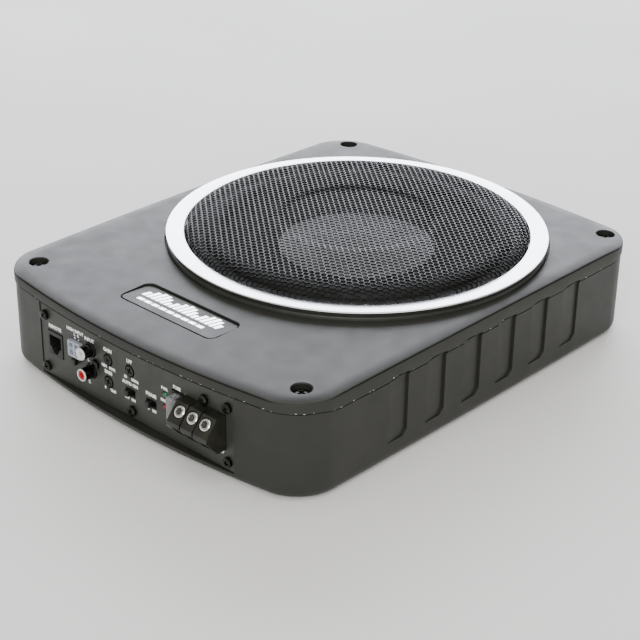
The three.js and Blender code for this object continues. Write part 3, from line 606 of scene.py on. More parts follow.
# Level of the parting line along the outline: lower on the long sides than at the ends.
def seamLine():
    x, y = outline(0).T
    fromEnd = body["halfY"] - np.abs(y - body["middleY"])
    fromSide = body["halfX"] - np.abs(x)
    along = np.clip((fromEnd - seamFade["endGap"]) / seamFade["endWidth"], 0, 1)
    side = np.clip((seamFade["sideGap"] - fromSide) / seamFade["sideWidth"], 0, 1)
    return seamZ - body["sideDrop"] * side * along


tray = {"inset": 0.6, "wall": 5.0, "bend": 6.0, "floorZ": 3.0, "lip": 0.8, "levels": (20, 35)}
opening = {"ledgeHalf": 77.5, "ledgeY": -141.7, "holeHalf": 71.9, "lowZ": 5.5, "highZ": 70}


# Tray: a floor, a rounded lower edge and a wall, as outlines at chosen insets and heights.
def makeTray():
    inset, bend, floorZ, topZ = tray["inset"], tray["bend"], tray["floorZ"], seamZ - 0.3
    back = inset + tray["wall"]
    lip = inset + tray["lip"]
    angle = np.linspace(0, math.pi / 2, 9)
    layers = [(inset + bend * (1 - math.sin(a)), bend * (1 - math.cos(a))) for a in angle]
    layers += [(inset, z) for z in (*tray["levels"], topZ - 0.5)]
    layers += [(lip, topZ - 0.25), (lip, topZ), (back - 0.4, topZ), (back, topZ - 0.4)]
    layers += [(back, floorZ + 3), (back + 3, floorZ)]
    drop = seamLine() - seamZ
    rings = [np.column_stack([outline(i), z + drop * (z > 40)]) for i, z in layers]
    middle = np.array([0.0, body["middleY"]])
    lowCentre = np.column_stack([np.tile(middle, (len(rings[0]), 1)), np.zeros(len(rings[0]))])
    highCentre = lowCentre + (0, 0, floorZ)
    grid = np.stack([lowCentre] + rings + [highCentre])
    obj = newPiece("trayShell", grid, gridFaces(len(grid), grid.shape[1]), materials["castCoat"],
                   "cast_housing", stands=("base_tray",))
    tools = [pocketTool(sign, index) for sign in (-1, 1) for index in range(pocket["count"])]
    # The panel's tools reach well past the wall on both sides.
    wide, narrow, low, high = [opening[key] for key in ("ledgeHalf", "holeHalf", "lowZ", "highZ")]
    tools.append(boxTool((-wide, -175, low), (wide, opening["ledgeY"], high)))
    tools.append(boxTool((-narrow, -150, low), (narrow, -120, high)))
    cutBy(obj, *joinedTools(tools))
    finishPiece(obj, materials["castCoat"], None, (), 30)


coverScrews = [(x, y) for y in (-123.2, 140.1) for x in (-104.3, 104.3)]
lid = {"seat": 113.6, "hole": 93.2, "thick": 4.0, "edge": 0.7, "rimInset": 4.0,
       "underZ": lidZ - 2.5}
groove = {"cornerX": 114.3, "cornerY": 137.6, "fade": 20.0}
well = {"radius": 5.5, "floorZ": 53.2, "chamfer": 0.5}
badge = {"x": -1.5, "y": -108.5, "width": 74.5, "height": 24.2, "radius": 5.0, "depth": 1.9,
         "gap": 0.9, "thick": 0.6, "tilt": 0.85}


# The outline of a rectangle with round corners.
def roundedSlab(halfX, halfY, radius, centre, steps=8):
    parts = []
    for index, (signX, signY) in enumerate([(1, -1), (1, 1), (-1, 1), (-1, -1)]):
        angle = (index - 1 + np.linspace(0, 1, steps)) * math.pi / 2
        middle = np.array([signX * (halfX - radius), signY * (halfY - radius)])
        parts.append(middle + radius * np.stack([np.cos(angle), np.sin(angle)], axis=-1))
    return np.concatenate(parts) + centre


# Closed tool through outlines at rising heights.
def layeredTool(rings):
    count = len(rings[0])
    points = np.concatenate(rings)
    faces = [list(range(count - 1, -1, -1))]
    for layer in range(len(rings) - 1):
        low, high = layer * count, (layer + 1) * count
        faces += [[low + i, low + (i + 1) % count, high + (i + 1) % count, high + i]
                  for i in range(count)]
    faces.append([(len(rings) - 1) * count + i for i in range(count)])
    return points, faces


def wellTool(x, y):
    top = float(crown(np.array(y)))
    levels = [(well["radius"], well["floorZ"]), (well["radius"], top - well["chamfer"]),
              (well["radius"] + 1.6, top + 1.1)]
    rings = [turnedPoints([level], 64)[0] + (x, y, 0) for level in levels]
    return layeredTool(rings)


def badgeTool():
    top = float(crown(np.array(badge["y"])))
    rings = []
    for grow, z in ((0, top - badge["depth"]), (0, top - 0.15), (1.3, top + 1.2)):
        ring = roundedSlab(badge["width"] / 2 + grow, badge["height"] / 2 + grow,
                           badge["radius"] + grow, (badge["x"], badge["y"]))
        rings.append(np.column_stack([ring, np.full(len(ring), z)]))
    return layeredTool(rings)


# Lid: from the driver hole out over the ring seat and the crown, down the rim and back inside.
def makeCover():
    rim = outline(0)
    offset = rim - driver[:2]
    angle = np.arctan2(offset[:, 1], offset[:, 0])
    around = np.stack([np.cos(angle), np.sin(angle)], axis=-1)
    rows = []

    def ring(radius):
        return driver[:2] + around * radius

    def addRow(flat, z):
        rows.append(np.column_stack([flat, np.broadcast_to(z, len(flat))]))

    seat, hole, inset = lid["seat"], lid["hole"], lid["rimInset"]
    addRow(ring(hole), lid["underZ"])
    addRow(ring(hole), lidZ - 0.3)
    addRow(ring(hole + 0.3), lidZ)
    addRow(ring(seat), lidZ)
    addRow(ring(seat), np.maximum(crown(ring(seat)[:, 1]) - 0.5, lidZ + 0.02))
    start = ring(seat + 0.5)
    addRow(start, np.maximum(crown(start[:, 1]), lidZ + 0.04))
    edgeInset, roll = body["edgeWidth"], body["edgeRoll"]
    goal = outline(edgeInset)
    for share in np.linspace(0, 1, 14)[1:]:
        flat = start + (goal - start) * share
        addRow(flat, crown(flat[:, 1]))
    for share in np.linspace(0, 1, 8)[1:]:
        flat = outline(edgeInset + (lid["edge"] - edgeInset) * share)
        addRow(flat, crown(flat[:, 1]) - roll * share ** 2.2)
    # A groove runs under the edge and fades out at the corners.
    edgeZ = crown(outline(lid["edge"])[:, 1]) - roll
    away = np.hypot(np.abs(rim[:, 0]) - groove["cornerX"],
                    np.abs(rim[:, 1] - body["middleY"]) - groove["cornerY"])
    sharp = (1 - 0.95 * np.exp(-(away / groove["fade"]) ** 4))[:, None]
    steps = ((0.3, 0.5, 0.1), (0.25, 1.0, 0.25), (0.15, 1.0, 0.7), (0.05, 0.12, 0.85))
    for shallow, deep, drop in steps:
        addRow(outline(shallow) * (1 - sharp) + outline(deep) * sharp, edgeZ - drop)
    addRow(rim, edgeZ - 1.1)
    addRow(rim, seamLine() + 0.35)
    addRow(rim * (1 - sharp) + outline(0.35) * sharp, seamLine())
    addRow(outline(inset), seamLine())
    addRow(outline(inset), crown(outline(inset)[:, 1]) - lid["thick"] - 1)
    addRow(outline(inset + 1.5), crown(outline(inset + 1.5)[:, 1]) - lid["thick"])
    addRow(ring(seat), lid["underZ"])
    grid = np.stack(rows)
    obj = newPiece("coverShell", grid, gridFaces(len(grid), grid.shape[1], True),
                   materials["castCoat"], "cast_housing", stands=("top_cover",))
    tools = [wellTool(x, y) for x, y in coverScrews] + [badgeTool()]
    tools += [notchTool(sign, index) for sign in (-1, 1) for index in range(pocket["count"])]
    cutBy(obj, *joinedTools(tools))
    finishPiece(obj, materials["castCoat"], None, (), 30)


# Size and place of the dark strip that paints the shadow under the cover's front rim.
shadeStrip = {"half": 80, "outer": 0.25, "inner": 1.6, "high": 0.1, "low": 0.75}


# A dark foam strip in the gap between the cover's front rim and the panel: painted shadow under the
# rim's overhang.
def makeRimShadeStrip():
    line = outline(shadeStrip["outer"])
    kept = (np.abs(line[:, 0]) < shadeStrip["half"]) & (line[:, 1] < 0)
    order = np.argsort(line[kept][:, 0])
    front = line[kept][order]
    back = outline(shadeStrip["inner"])[kept][order]
    high, low = seamZ - shadeStrip["high"], seamZ - shadeStrip["low"]
    rows = [np.column_stack([flat, np.full(len(flat), z)])
            for flat, z in ((front, high), (front, low), (back, low), (back, high))]
    grid = np.stack(rows, axis=1)
    faces = gridFaces(len(grid), 4).tolist()
    last = (len(grid) - 1) * 4
    faces += [[0, 1, 2, 3], [last + 3, last + 2, last + 1, last]]
    newPiece("rimShadeStrip", grid, faces, materials["foam"], "foam_seal")


# The floors of the wells, which the thin lid needs under its screw heads.
def makeWellCups():
    inner, outer, foot, top = 2.4, 8, seamZ + 0.2, lid["underZ"]
    side = well["radius"] + 0.05
    profile = [(inner, foot), (outer, foot), (outer, top), (side, top), (side, well["floorZ"]),
               (inner, well["floorZ"])]
    grid = turnedPoints(profile, 48)
    faces = gridFaces(len(grid), 48, True).tolist()
    parts = [(grid.reshape(-1, 3) + (x, y, 0), faces) for x, y in coverScrews]
    newPiece("wellCups", *joinedTools(parts), materials["castCoat"], "cast_housing")


makeTray()
makeCover()
makeRimShadeStrip()
makeWellCups()
print("enclosure made")


# Height of the badge plate's face: it slopes up a little towards the front edge.
def plateTop(y):
    low = float(crown(np.array(badge["y"]))) - badge["depth"] + 0.3 + badge["thick"]
    front = badge["y"] - badge["height"] / 2 + badge["gap"]
    back = badge["y"] + badge["height"] / 2 - badge["gap"]
    return low + badge["tilt"] * (back - y) / (back - front)


def makeBadge():
    rings = []
    for shrink, drop in ((0.0, badge["thick"]), (0.0, 0.15), (0.2, 0.0)):
        inset = badge["gap"] + shrink
        ring = roundedSlab(badge["width"] / 2 - inset, badge["height"] / 2 - inset,
                           badge["radius"] - inset, (badge["x"], badge["y"]))
        rings.append(np.column_stack([ring, plateTop(ring[:, 1]) - drop]))
    newPiece("badgePlate", *layeredTool(rings), materials["castCoat"], "cast_housing",
             stands=("badge_plate",), sharpAngle=30)


mark = {
    "bars": 17, "pitch": 3.55, "width": 2.5, "tall": 9.8, "slant": 0.22, "low": -0.4, "waves": 3,
    "least": 0.35, "dashes": 9, "dashStart": 3, "dashPitch": 5.9, "dashWidth": 4.7,
    "dashLow": -5.8, "dashHigh": -3.4, "proud": 0.04,
}


# An abstract level-meter print: slanted bars whose heights follow a sine, over a broken line.
def makeBadgeMark():
    parts = []

    def bar(x, y0, y1, width):
        lean = mark["slant"]
        flat = [(x + lean * y0, y0), (x + width + lean * y0, y0),
                (x + width + lean * y1, y1), (x + lean * y1, y1)]
        low = [(badge["x"] + a, badge["y"] + b, plateTop(badge["y"] + b)) for a, b in flat]
        high = [(a, b, c + mark["proud"]) for a, b, c in low]
        parts.append(prismTool(low, high))

    start = -mark["bars"] * mark["pitch"] / 2
    for index in range(mark["bars"]):
        wave = abs(math.sin((index + 0.5) / mark["bars"] * math.pi * mark["waves"]))
        height = mark["tall"] * (mark["least"] + (1 - mark["least"]) * wave)
        bar(start + index * mark["pitch"], mark["low"], mark["low"] + height, mark["width"])
    for index in range(mark["dashes"]):
        x = start + mark["dashStart"] + index * mark["dashPitch"]
        bar(x, mark["dashLow"], mark["dashHigh"], mark["dashWidth"])
    newPiece("badgeMark", *joinedTools(parts), materials["ring"], "ring_aluminium")


makeBadge()
makeBadgeMark()
print("badge made")


def makeRings():
    base = [(103.6, 57.5), (112.7, 57.5), (113, 57.8), (113, 60.0), (112.75, 60.5), (112.0, 60.9),
            (111.2, 61.0), (111.2, 62.7), (102.8, 62.7), (102.8, 61.9), (99.6, 61.9), (99.6, 60.9),
            (103.6, 60.9)]
    turnedPiece("ringBase", base, 256, materials["panel"], "black_plastic",
                stands=("trim_ring_base",))
    face = [(102.6, 63.0), (113.0, 63.0), (113.15, 63.15), (113.15, 63.4), (112.8, 63.65),
            (112.2, 63.7), (103.1, 63.7), (102.75, 63.6), (102.6, 63.3)]
    turnedPiece("ringFace", face, 256, materials["ring"], "ring_aluminium",
                stands=("trim_ring_face",))


grille = {"edge": 102.3, "flat": 86.0, "baseZ": 62.8, "rim": 5.9, "crown": 2.0, "pitch": 3.7,
          "turn": 19.8, "strand": 0.46, "thick": 0.85, "hollow": 0.08,
          "dishInner": 42.5, "dishOuter": 49.5, "dishDepth": 1.0}


# The quarter ellipse of the sheet's rim, and the length along it.
def rimCurve():
    rimWidth = grille["edge"] - grille["flat"]
    arc = np.linspace(0, math.pi / 2, 200)
    px, pz = rimWidth * np.sin(arc), grille["rim"] * np.cos(arc)
    length = np.concatenate([[0], np.cumsum(np.hypot(np.diff(px), np.diff(pz)))])
    return px, pz, length


# Carries a flat disc onto the dome. Inside the flat radius the sheet keeps its place under a
# shallow crown with a dished middle. Outside it, the distance left runs along a quarter ellipse
# down to the rim.
def domed(x, y, drop):
    px, pz, length = rimCurve()
    far = np.hypot(x, y)
    along = np.clip(far - grille["flat"], 0, length[-1])
    radius = np.minimum(far, grille["flat"]) + np.interp(along, length, px)
    height = grille["baseZ"] + np.interp(along, length, pz)
    height = height + grille["crown"] * (1 - (radius / grille["edge"]) ** 2)
    dishWidth = grille["dishOuter"] - grille["dishInner"]
    dish = np.clip((grille["dishOuter"] - radius) / dishWidth, 0, 1)
    height = height - grille["dishDepth"] * dish * dish * (3 - 2 * dish)
    slope = np.arctan2(np.gradient(pz), np.gradient(px))
    tilt = np.interp(along, length, slope)
    radius = radius + drop * np.sin(tilt)
    height = height - drop * np.cos(tilt)
    share = np.where(far > 1e-6, radius / np.maximum(far, 1e-6), 1.0)
    return np.stack([x * share, y * share, height], axis=-1) + driver


# Honeycomb sheet: every cell is a ring of six quads round a hexagonal hole, above and below,
# and each strand slopes from a ridge down to the hole's edge.
def makeGrille():
    pitch = grille["pitch"]
    reach = grille["flat"] + rimCurve()[2][-1]
    count = int(reach / pitch) + 3
    i, j = np.meshgrid(np.arange(-count, count + 1), np.arange(-count * 2, count * 2 + 1))
    alongX = ((i + 0.5 * (j % 2)) * pitch).ravel()
    alongY = (j * pitch * math.sqrt(3) / 2).ravel()
    turn = math.radians(grille["turn"])
    cx = alongX * math.cos(turn) - alongY * math.sin(turn)
    cy = alongX * math.sin(turn) + alongY * math.cos(turn)
    keep = np.hypot(cx, cy) < reach - pitch * 0.42
    cx, cy = cx[keep], cy[keep]
    corner = (np.arange(6) + 0.5) * math.pi / 3 + turn
    outerX = cx[:, None] + pitch / math.sqrt(3) * np.cos(corner)
    outerY = cy[:, None] + pitch / math.sqrt(3) * np.sin(corner)
    hole = (pitch - grille["strand"]) / math.sqrt(3)
    innerX = cx[:, None] + hole * np.cos(corner)
    innerY = cy[:, None] + hole * np.sin(corner)
    cells = len(cx)
    top = domed(outerX.ravel(), outerY.ravel(), 0.0)
    topHole = domed(innerX.ravel(), innerY.ravel(), grille["hollow"])
    low = domed(outerX.ravel(), outerY.ravel(), grille["thick"])
    lowHole = domed(innerX.ravel(), innerY.ravel(), grille["thick"] - 0.1)
    size = cells * 6
    a = np.arange(size)
    b = (a // 6) * 6 + (a + 1) % 6
    upper = np.stack([a, b, b + size, a + size], axis=-1)
    wall = np.stack([a + size, b + size, b + 3 * size, a + 3 * size], axis=-1)
    lower = np.stack([a + 3 * size, b + 3 * size, b + 2 * size, a + 2 * size], axis=-1)
    sums = [(side + np.roll(side, -1, axis=1)).ravel() for side in (outerX, outerY)]
    key = np.round(np.stack(sums, axis=-1), 3)
    _, inverse, counts = np.unique(key, axis=0, return_inverse=True, return_counts=True)
    border = counts[inverse.ravel()] == 1
    rim = np.stack([b, a, a + 2 * size, b + 2 * size], axis=-1)[border]
    points = np.concatenate([top, topHole, low, lowHole])
    faces = np.concatenate([upper, wall, lower, rim])
    newPiece("grilleSheet", points, faces, materials["grille"], "grille_steel",
             stands=("grille",), sharpAngle=50)
    print("grille cells", cells, "faces", len(faces))


# The unpierced edge of the sheet, hidden in the ring's slot.
def makeGrilleHem():
    profile = [(101.3, 61.9), (102.2, 61.9), (102.2, 62.5), (101.3, 62.5)]
    turnedPiece("grilleHem", profile, 192, materials["grille"], "grille_steel")


makeRings()
makeGrille()
makeGrilleHem()
print("grille made")


cone = {"inner": 21.0, "outer": 79.0, "footZ": 45.2, "rise": 13.3, "bend": 0.92, "thick": 1.3,
        "ribs": 7, "ribHeight": 0.12, "ribsFrom": 0.45}


# A paper cone whose height grows as a power of the radius, with faint round ribs.
def makeCone():
    radius = np.linspace(cone["inner"], cone["outer"], 30)
    share = (radius - cone["inner"]) / (cone["outer"] - cone["inner"])
    high = cone["footZ"] + cone["rise"] * share ** cone["bend"]
    ribs = cone["ribHeight"] * np.cos(share * cone["ribs"] * full) * (share > cone["ribsFrom"])
    upper = np.column_stack([radius, high + ribs])
    lower = np.column_stack([radius, high - cone["thick"]])[::-1]
    turnedPiece("conePaper", np.concatenate([lower, upper]), 128, materials["pulp"], "cone_paper",
                body="cone_assembly", stands=("cone",))


dustCap = {"radius": 46.4, "topZ": 52.3, "underZ": 51.6, "rise": 8.4,
           "lip": [(45.8, 51.6), (46.6, 51.7), (46.7, 52.1)]}


# A thin dome whose height falls with the square of the radius.
def makeDustCap():
    radius = np.linspace(dustCap["radius"], 0.0, 24)
    rise = dustCap["rise"] * (1 - (radius / dustCap["radius"]) ** 2)
    upper = np.column_stack([radius, dustCap["topZ"] + rise])
    lower = np.column_stack([radius[::-1] * 0.985, dustCap["underZ"] + rise[::-1] * 0.99])[:-1]
    turnedPiece("dustCapDome", np.concatenate([lower, dustCap["lip"], upper]), 128,
                materials["cap"], "cap_plastic", wrap=False, body="cone_assembly",
                stands=("dust_cap",))


# Bakes a ring's placement into its mesh and reads its points relative to the loudspeaker's axis.
def bendBetween(obj):
    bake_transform(obj)
    points = np.zeros(len(obj.data.vertices) * 3)
    obj.data.vertices.foreach_get("co", points)
    points = points.reshape(-1, 3) - driver * mm


surround = {"middle": 85.2, "footZ": 60.0, "wide": 5.6, "tall": 4.6, "thick": 0.8,
            "bendFrom": 80.5, "bendTo": 90.0}


# A half roll, with a flange glued to the cone and another clamped to the basket.
def makeSurround():
    angle = np.linspace(math.pi, 0, 22)
    rolls = []
    for less in (0, surround["thick"]):
        rolls.append(np.column_stack([
            surround["middle"] + (surround["wide"] - less) * np.cos(angle),
            surround["footZ"] + (surround["tall"] - less) * np.sin(angle)]))
    outerRoll, innerRoll = rolls[0], rolls[1][::-1]
    profile = [(79.35, 58.9), (79.35, 59.6)] + outerRoll.tolist()
    profile += [(91.4, 60.5), (98.9, 60.5), (99.2, 60.2), (98.9, 59.8), (90.6, 59.8)]
    profile += innerRoll[1:-1].tolist() + [(80.0, 58.9)]
    obj = turnedPiece("surroundRoll", profile, 128, materials["rubber"], "surround_rubber",
                      body=None, stands=("surround",))
    bendBetween(obj)


spider = {"inner": 21.9, "outer": 64.0, "z": 39.2, "wave": 1.0, "waveLength": 6.8, "waveFrom": 24,
          "waveTo": 60, "thick": 0.6, "bendFrom": 23.0, "bendTo": 59.0}


# A flat ring of cloth with round waves that fade out at both edges.
def makeSpider():
    radius = np.linspace(spider["inner"], spider["outer"], 80)
    fromInner, toOuter = radius - spider["waveFrom"], spider["waveTo"] - radius
    swell = np.clip(fromInner / 4, 0, 1) * np.clip(toOuter / 3, 0, 1)
    wave = spider["z"] + spider["wave"] * np.sin(fromInner / spider["waveLength"] * full) * swell
    upper = np.column_stack([radius, wave + spider["thick"] / 2])
    lower = np.column_stack([radius, wave - spider["thick"] / 2])[::-1]
    obj = turnedPiece("spiderCloth", np.concatenate([lower, upper]), 96, materials["cotton"],
                      "spider_cloth", body=None, stands=("spider",))
    bendBetween(obj)


# Round parts that the CAD leaves faceted, from their profiles.
turnedParts = {
    "voiceCoil": ("voice_coil", "copper", "coil_copper", "cone_assembly",
                  [(20, 18.5), (21.4, 18.5), (21.4, 33), (20.6, 33), (20.6, 47), (20, 47)]),
    "topPlate": ("top_plate", "zinc", "bare_steel", "enclosure",
                 [(22.2, 24), (46.7, 24), (47, 24.3), (47, 27.7), (46.7, 28), (22.2, 28)]),
    "magnetRing": ("magnet", "ferrite", "ferrite", "enclosure",
                   [(27.4, 10.3), (49.4, 10.3), (50, 10.9), (50, 23.1), (49.4, 23.7),
                    (27.4, 23.7)]),
    "yokePlate": ("yoke", "zinc", "bare_steel", "enclosure",
                  [(6, 5), (44, 5), (46, 7), (46, 10), (19.2, 10), (19.2, 28.6), (18.8, 29),
                   (6, 29)]),
}


def makeMotor():
    for name, (node, finish, slotName, rider, profile) in turnedParts.items():
        turnedPiece(name, profile, 96, materials[finish], slotName, body=rider, stands=(node,))


makeCone()
makeDustCap()
makeSurround()
makeSpider()
makeMotor()
print("driver made")


# A domed head with a recess: rings run from the middle of the top to the rim, down the side and
# back under, with a shank below. The top rises from its rim along part of an ellipse, and the
# recess is sunk where a mask of the flat position is one.
def headGrid(kind, mask):
    rings, radius = kind["rings"], kind["radius"]
    shankRadius, shankLength = kind["shank"]
    share = np.linspace(0, 1, rings) ** 0.85
    dome = kind["height"] * (0.62 + 0.38 * np.sqrt(np.clip(1 - (share * 0.97) ** 2, 0, 1)))
    profile = np.column_stack([radius * share, dome])
    under = [(radius, 0.0), (shankRadius, 0.0), (shankRadius, -shankLength), (0.0, -shankLength)]
    grid = turnedPoints(np.concatenate([profile, under]), kind["columns"])
    grid[:rings, :, 2] -= kind["deep"] * mask(grid[:rings, :, 0], grid[:rings, :, 1])
    return grid


# A smooth step from none to one between two values.
def ease(value, low, high):
    t = np.clip((value - low) / (high - low), 0, 1)
    return t * t * (3 - 2 * t)


# A cross recess with arms of a given length and half width.
def crossHead(kind):
    arm, half = kind["arm"], kind["half"]

    def slot(a, b):
        narrow = 1 - ease(np.abs(a), half * 0.8, half * 1.5)
        return narrow * (1 - ease(np.abs(b), arm * 0.8, arm))

    return headGrid(kind, lambda x, y: np.maximum(slot(x, y), slot(y, x)))


# A hexagon socket of a given half width across its flats.
def hexHead(kind):
    size, sine60 = kind["half"], 0.866

    def mask(x, y):
        slants = [np.abs(0.5 * x + side * sine60 * y) for side in (1, -1)]
        return 1 - ease(np.maximum(np.abs(x), np.maximum(*slants)), size * 0.9, size * 1.1)

    return headGrid(kind, mask)


# A grid turned about its own axis.
def spun(grid, angle):
    return grid @ np.array(Matrix.Rotation(angle, 3, "Z")).T


coverScrewKind = {"radius": 4.4, "height": 2.4, "arm": 2.3, "half": 0.42, "deep": 1.3, "rings": 22,
                  "columns": 72, "shank": (1.9, 14)}


def makeCoverScrews():
    grid = crossHead(coverScrewKind)
    for index, (x, y) in enumerate(coverScrews):
        aimedPiece(f"coverScrew{index + 1}", grid, (0, 0, 1), (x, y, well["floorZ"] + 0.3),
                   materials["screw"], "black_screws", stands=(f"cover_screw_{index + 1}",))


panelScrewKind = {"radius": 3.0, "height": 2.0, "arm": 1.7, "half": 0.3, "deep": 1.0, "rings": 20,
                  "columns": 72, "shank": (1.3, 5), "turn": 0.4, "turnStep": 1.1}
panelScrews = [(-73.2, 10.8), (73.2, 10.8), (-73.2, 42.9), (73.2, 42.9), (-30.6, 27.9),
               (-0.8, 10.8), (56.0, 40.9)]


def makePanelScrews():
    for index, (x, z) in enumerate(panelScrews):
        turn = panelScrewKind["turn"] + index * panelScrewKind["turnStep"]
        aimedPiece(f"panelScrew{index + 1}", spun(crossHead(panelScrewKind), turn), (0, -1, 0),
                   (x, panelY - 0.3, z), materials["screw"], "black_screws",
                   stands=(f"panel_screw_{index + 1}",))


makeCoverScrews()
makePanelScrews()
print("screws made")


refinedNodes = [
    ("control_panel", "panelPlate", "panel", "panel_paint", 0.2),
    ("remote_jack", "remoteJack", "black", "black_plastic", 0.25),
    ("speaker_level_socket", "speakerSocket", "header", "white_plastic", 0.3),
    ("speaker_level_latch", "speakerLatch", "black", "black_plastic", 0.4),
    ("rca_block", "rcaBlock", "black", "black_plastic", 0.3),
    ("gain_trimmer_body", "gainTrimmerBody", "black", "black_plastic", 0.2),
    ("bass_trimmer_body", "bassTrimmerBody", "black", "black_plastic", 0.2),
    ("lowpass_trimmer_body", "lowpassTrimmerBody", "black", "black_plastic", 0.2),
    ("turn_on_switch_body", "turnOnSwitchBody", "black", "black_plastic", 0.2),
    ("phase_switch_body", "phaseSwitchBody", "black", "black_plastic", 0.2),
    ("fuse_holder", "fuseHolder", "black", "black_plastic", 0.25),
    ("terminal_block", "terminalBlock", "phenolic", "black_plastic", 0.35),
    ("driver_terminal", "driverTerminal", "black", "black_plastic", 0.3),
    ("heat_spreader", "heatSpreader", "mill", "spreader_aluminium", 0.3),
    ("amplifier_board", "amplifierBoard", "laminate", "board_laminate", 0.15),
]


def makeRefined():
    for node, name, finish, slotName, edge in refinedNodes:
        refinedCopy(node, name, materials[finish], edge)


rca = {
    "x": -34.9, "levels": (35.0, 21.9), "shell": 3.6, "thick": 0.7, "tipY": panelY - 7.5,
    "length": 14, "coreLength": 13.6,
    "core": [(1.6, 0), (2.8, 0), (2.8, 13.1), (2.6, 13.3), (1.8, 13.3), (1.6, 13.0)],
    "sleeve": [(0, 0), (1.55, 0), (1.55, 11.4), (0, 11.4)],
}


# One turned part of an input, whose far end is measured from the barrel's tip.
def makeRcaPart(name, side, z, length, profile, columns, finish, slotName, **more):
    foot = (rca["x"], rca["tipY"] + length, z)
    aimedPiece(f"{name}{side.title()}", turnedPoints(profile, columns), (0, -1, 0), foot,
               materials[finish], slotName, **more)


# Each input is a metal barrel with a white rim round a coloured insulator.
def makeRcaJacks():
    r, thick = rca["shell"], rca["thick"]
    shell = [(r - thick, 0), (r, 0), (r, 13.3), (r - thick, 13.3)]
    rim = [(r - 0.75, 13.25), (r, 13.25), (r, 13.6), (r - 0.2, 13.9), (r - 0.5, 14.0),
           (r - 0.75, 13.8)]
    for side, z, finish in zip(("left", "right"), rca["levels"], ("white", "red")):
        makeRcaPart("rcaShell", side, z, rca["length"], shell, 64, "nickelPaintedDark", "nickel_plate",
                    wrap=True, stands=(f"rca_shell_{side}",))
        makeRcaPart("rcaRim", side, z, rca["length"], rim, 64, "white", "white_plastic", wrap=True)
        makeRcaPart("rcaInsulator", side, z, rca["coreLength"], rca["core"], 48, finish,
                    f"{finish}_plastic", wrap=True, stands=(f"rca_insulator_{side}",))


# The contacts deep inside the insulators, drawn black: painted shade in the pin holes.
def makeRcaSleeveShades():
    for side, z in zip(("left", "right"), rca["levels"]):
        makeRcaPart("rcaSleeve", side, z, rca["coreLength"], rca["sleeve"], 32, "black",
                    "nickel_plate")


adjusterKind = {"radius": 2.9, "height": 1.2, "arm": 2.2, "half": 0.4, "deep": 1.0, "rings": 20,
                "columns": 64, "shank": (2.9, 5.2)}
adjusters = {"gain": (-20.3, 34.3, 0.5), "bass": (-20.3, 20.8, 1.2), "lowpass": (-2.5, 34.3, -0.4)}


def makeAdjusters():
    for name, (x, z, turn) in adjusters.items():
        aimedPiece(f"{name}Adjuster", spun(crossHead(adjusterKind), turn), (0, -1, 0),
                   (x, panelY + 0.7, z), materials["black"], "black_plastic",
                   body=f"{name}_knob", stands=(f"{name}_adjuster",))


def makeLevers():
    for node, name, rider in (("turn_on_switch_lever", "turnOnLever", "turn_on_lever"),
                              ("phase_switch_lever", "phaseLever", "phase_lever")):
        refinedCopy(node, name, materials["black"], 0.25, rider)


lamp = {"x": 25.3, "radius": 1.7, "sideLength": 7.4, "dome": 1.6, "foot": 8.1}


def makeLamps():
    angle = np.linspace(0, math.pi / 2, 8)
    dome = np.column_stack([lamp["radius"] * np.cos(angle),
                            lamp["sideLength"] + lamp["dome"] * np.sin(angle)])
    grid = turnedPoints(np.concatenate([[(0, 0), (lamp["radius"], 0)], dome]), 32)
    for name, z, finish, slotName in (("power", 31.0, "greenLens", "green_lens"),
                                      ("protect", 23.7, "redLens", "red_lens")):
        aimedPiece(f"{name}Lens", grid, (0, -1, 0), (lamp["x"], panelY + lamp["foot"], z),
                   materials[finish], slotName, stands=(f"{name}_lamp",))


fuse = {
    "x": 35.5, "z": 27.0, "wide": 5.0, "tall": 18.0, "front": panelY - 6.5, "corner": 0.8,
    "bladeThick": 0.8, "bladeHalf": 2.6, "bladeOut": 5.8, "bladeY": (-143.2, -131.5),
    "linkThick": 0.6, "linkHalf": 7.4, "linkY": (-147.5, -144.3),
}


# The clear fuse: a rounded body with a step, and its metal link and blades inside it.
def makeFuse():
    rings = []
    for shrink, y in ((0.5, fuse["front"]), (0.1, fuse["front"] + 0.4), (0.0, fuse["front"] + 5.6),
                      (0.3, -144.55), (1.0, -144.4), (1.0, -139.1)):
        wide, tall = fuse["wide"] / 2 - shrink * 0.7, fuse["tall"] / 2 - shrink * 1.5
        ring = roundedSlab(wide, tall, fuse["corner"], (fuse["x"], fuse["z"]), 5)
        rings.append(np.column_stack([ring[:, 0], np.full(len(ring), y), ring[:, 1]]))
    newPiece("fuseBody", *layeredTool(rings), materials["clear"], "clear_plastic", "fuse_link",
             ("blade_fuse",), 40)

    def strip(thick, half, out, ends):
        low = (fuse["x"] - thick / 2, ends[0], fuse["z"] + out - half)
        return boxTool(low, (fuse["x"] + thick / 2, ends[1], fuse["z"] + out + half))

    tools = [strip(fuse["bladeThick"], fuse["bladeHalf"], side * fuse["bladeOut"], fuse["bladeY"])
             for side in (-1, 1)]
    tools.append(strip(fuse["linkThick"], fuse["linkHalf"], 0, fuse["linkY"]))
    newPiece("fuseBlades", *joinedTools(tools), materials["zinc"], "nickel_plate", body="fuse_link")


clampKind = {"radius": 3.4, "height": 2.7, "half": 1.7, "deep": 2.1, "rings": 26, "columns": 72,
             "shank": (1.6, 3.8)}
# The socket sizes give the black prisms painted as shade in the hexagon sockets.
clamps = {
    "places": {"ground": 46.6, "remote": 56.1, "battery": 65.6}, "foot": (-153.27, 33.68),
    "out": (0.0, -0.7792, 0.6268), "sunk": 2.2, "socket": 1.75, "socketZ": (0.3, 0.9),
}


# The point at which a clamp screw's head rests, on the block's slope.
def clampFoot(x):
    return np.array([x, *clamps["foot"]]) - np.array(clamps["out"]) * clamps["sunk"]


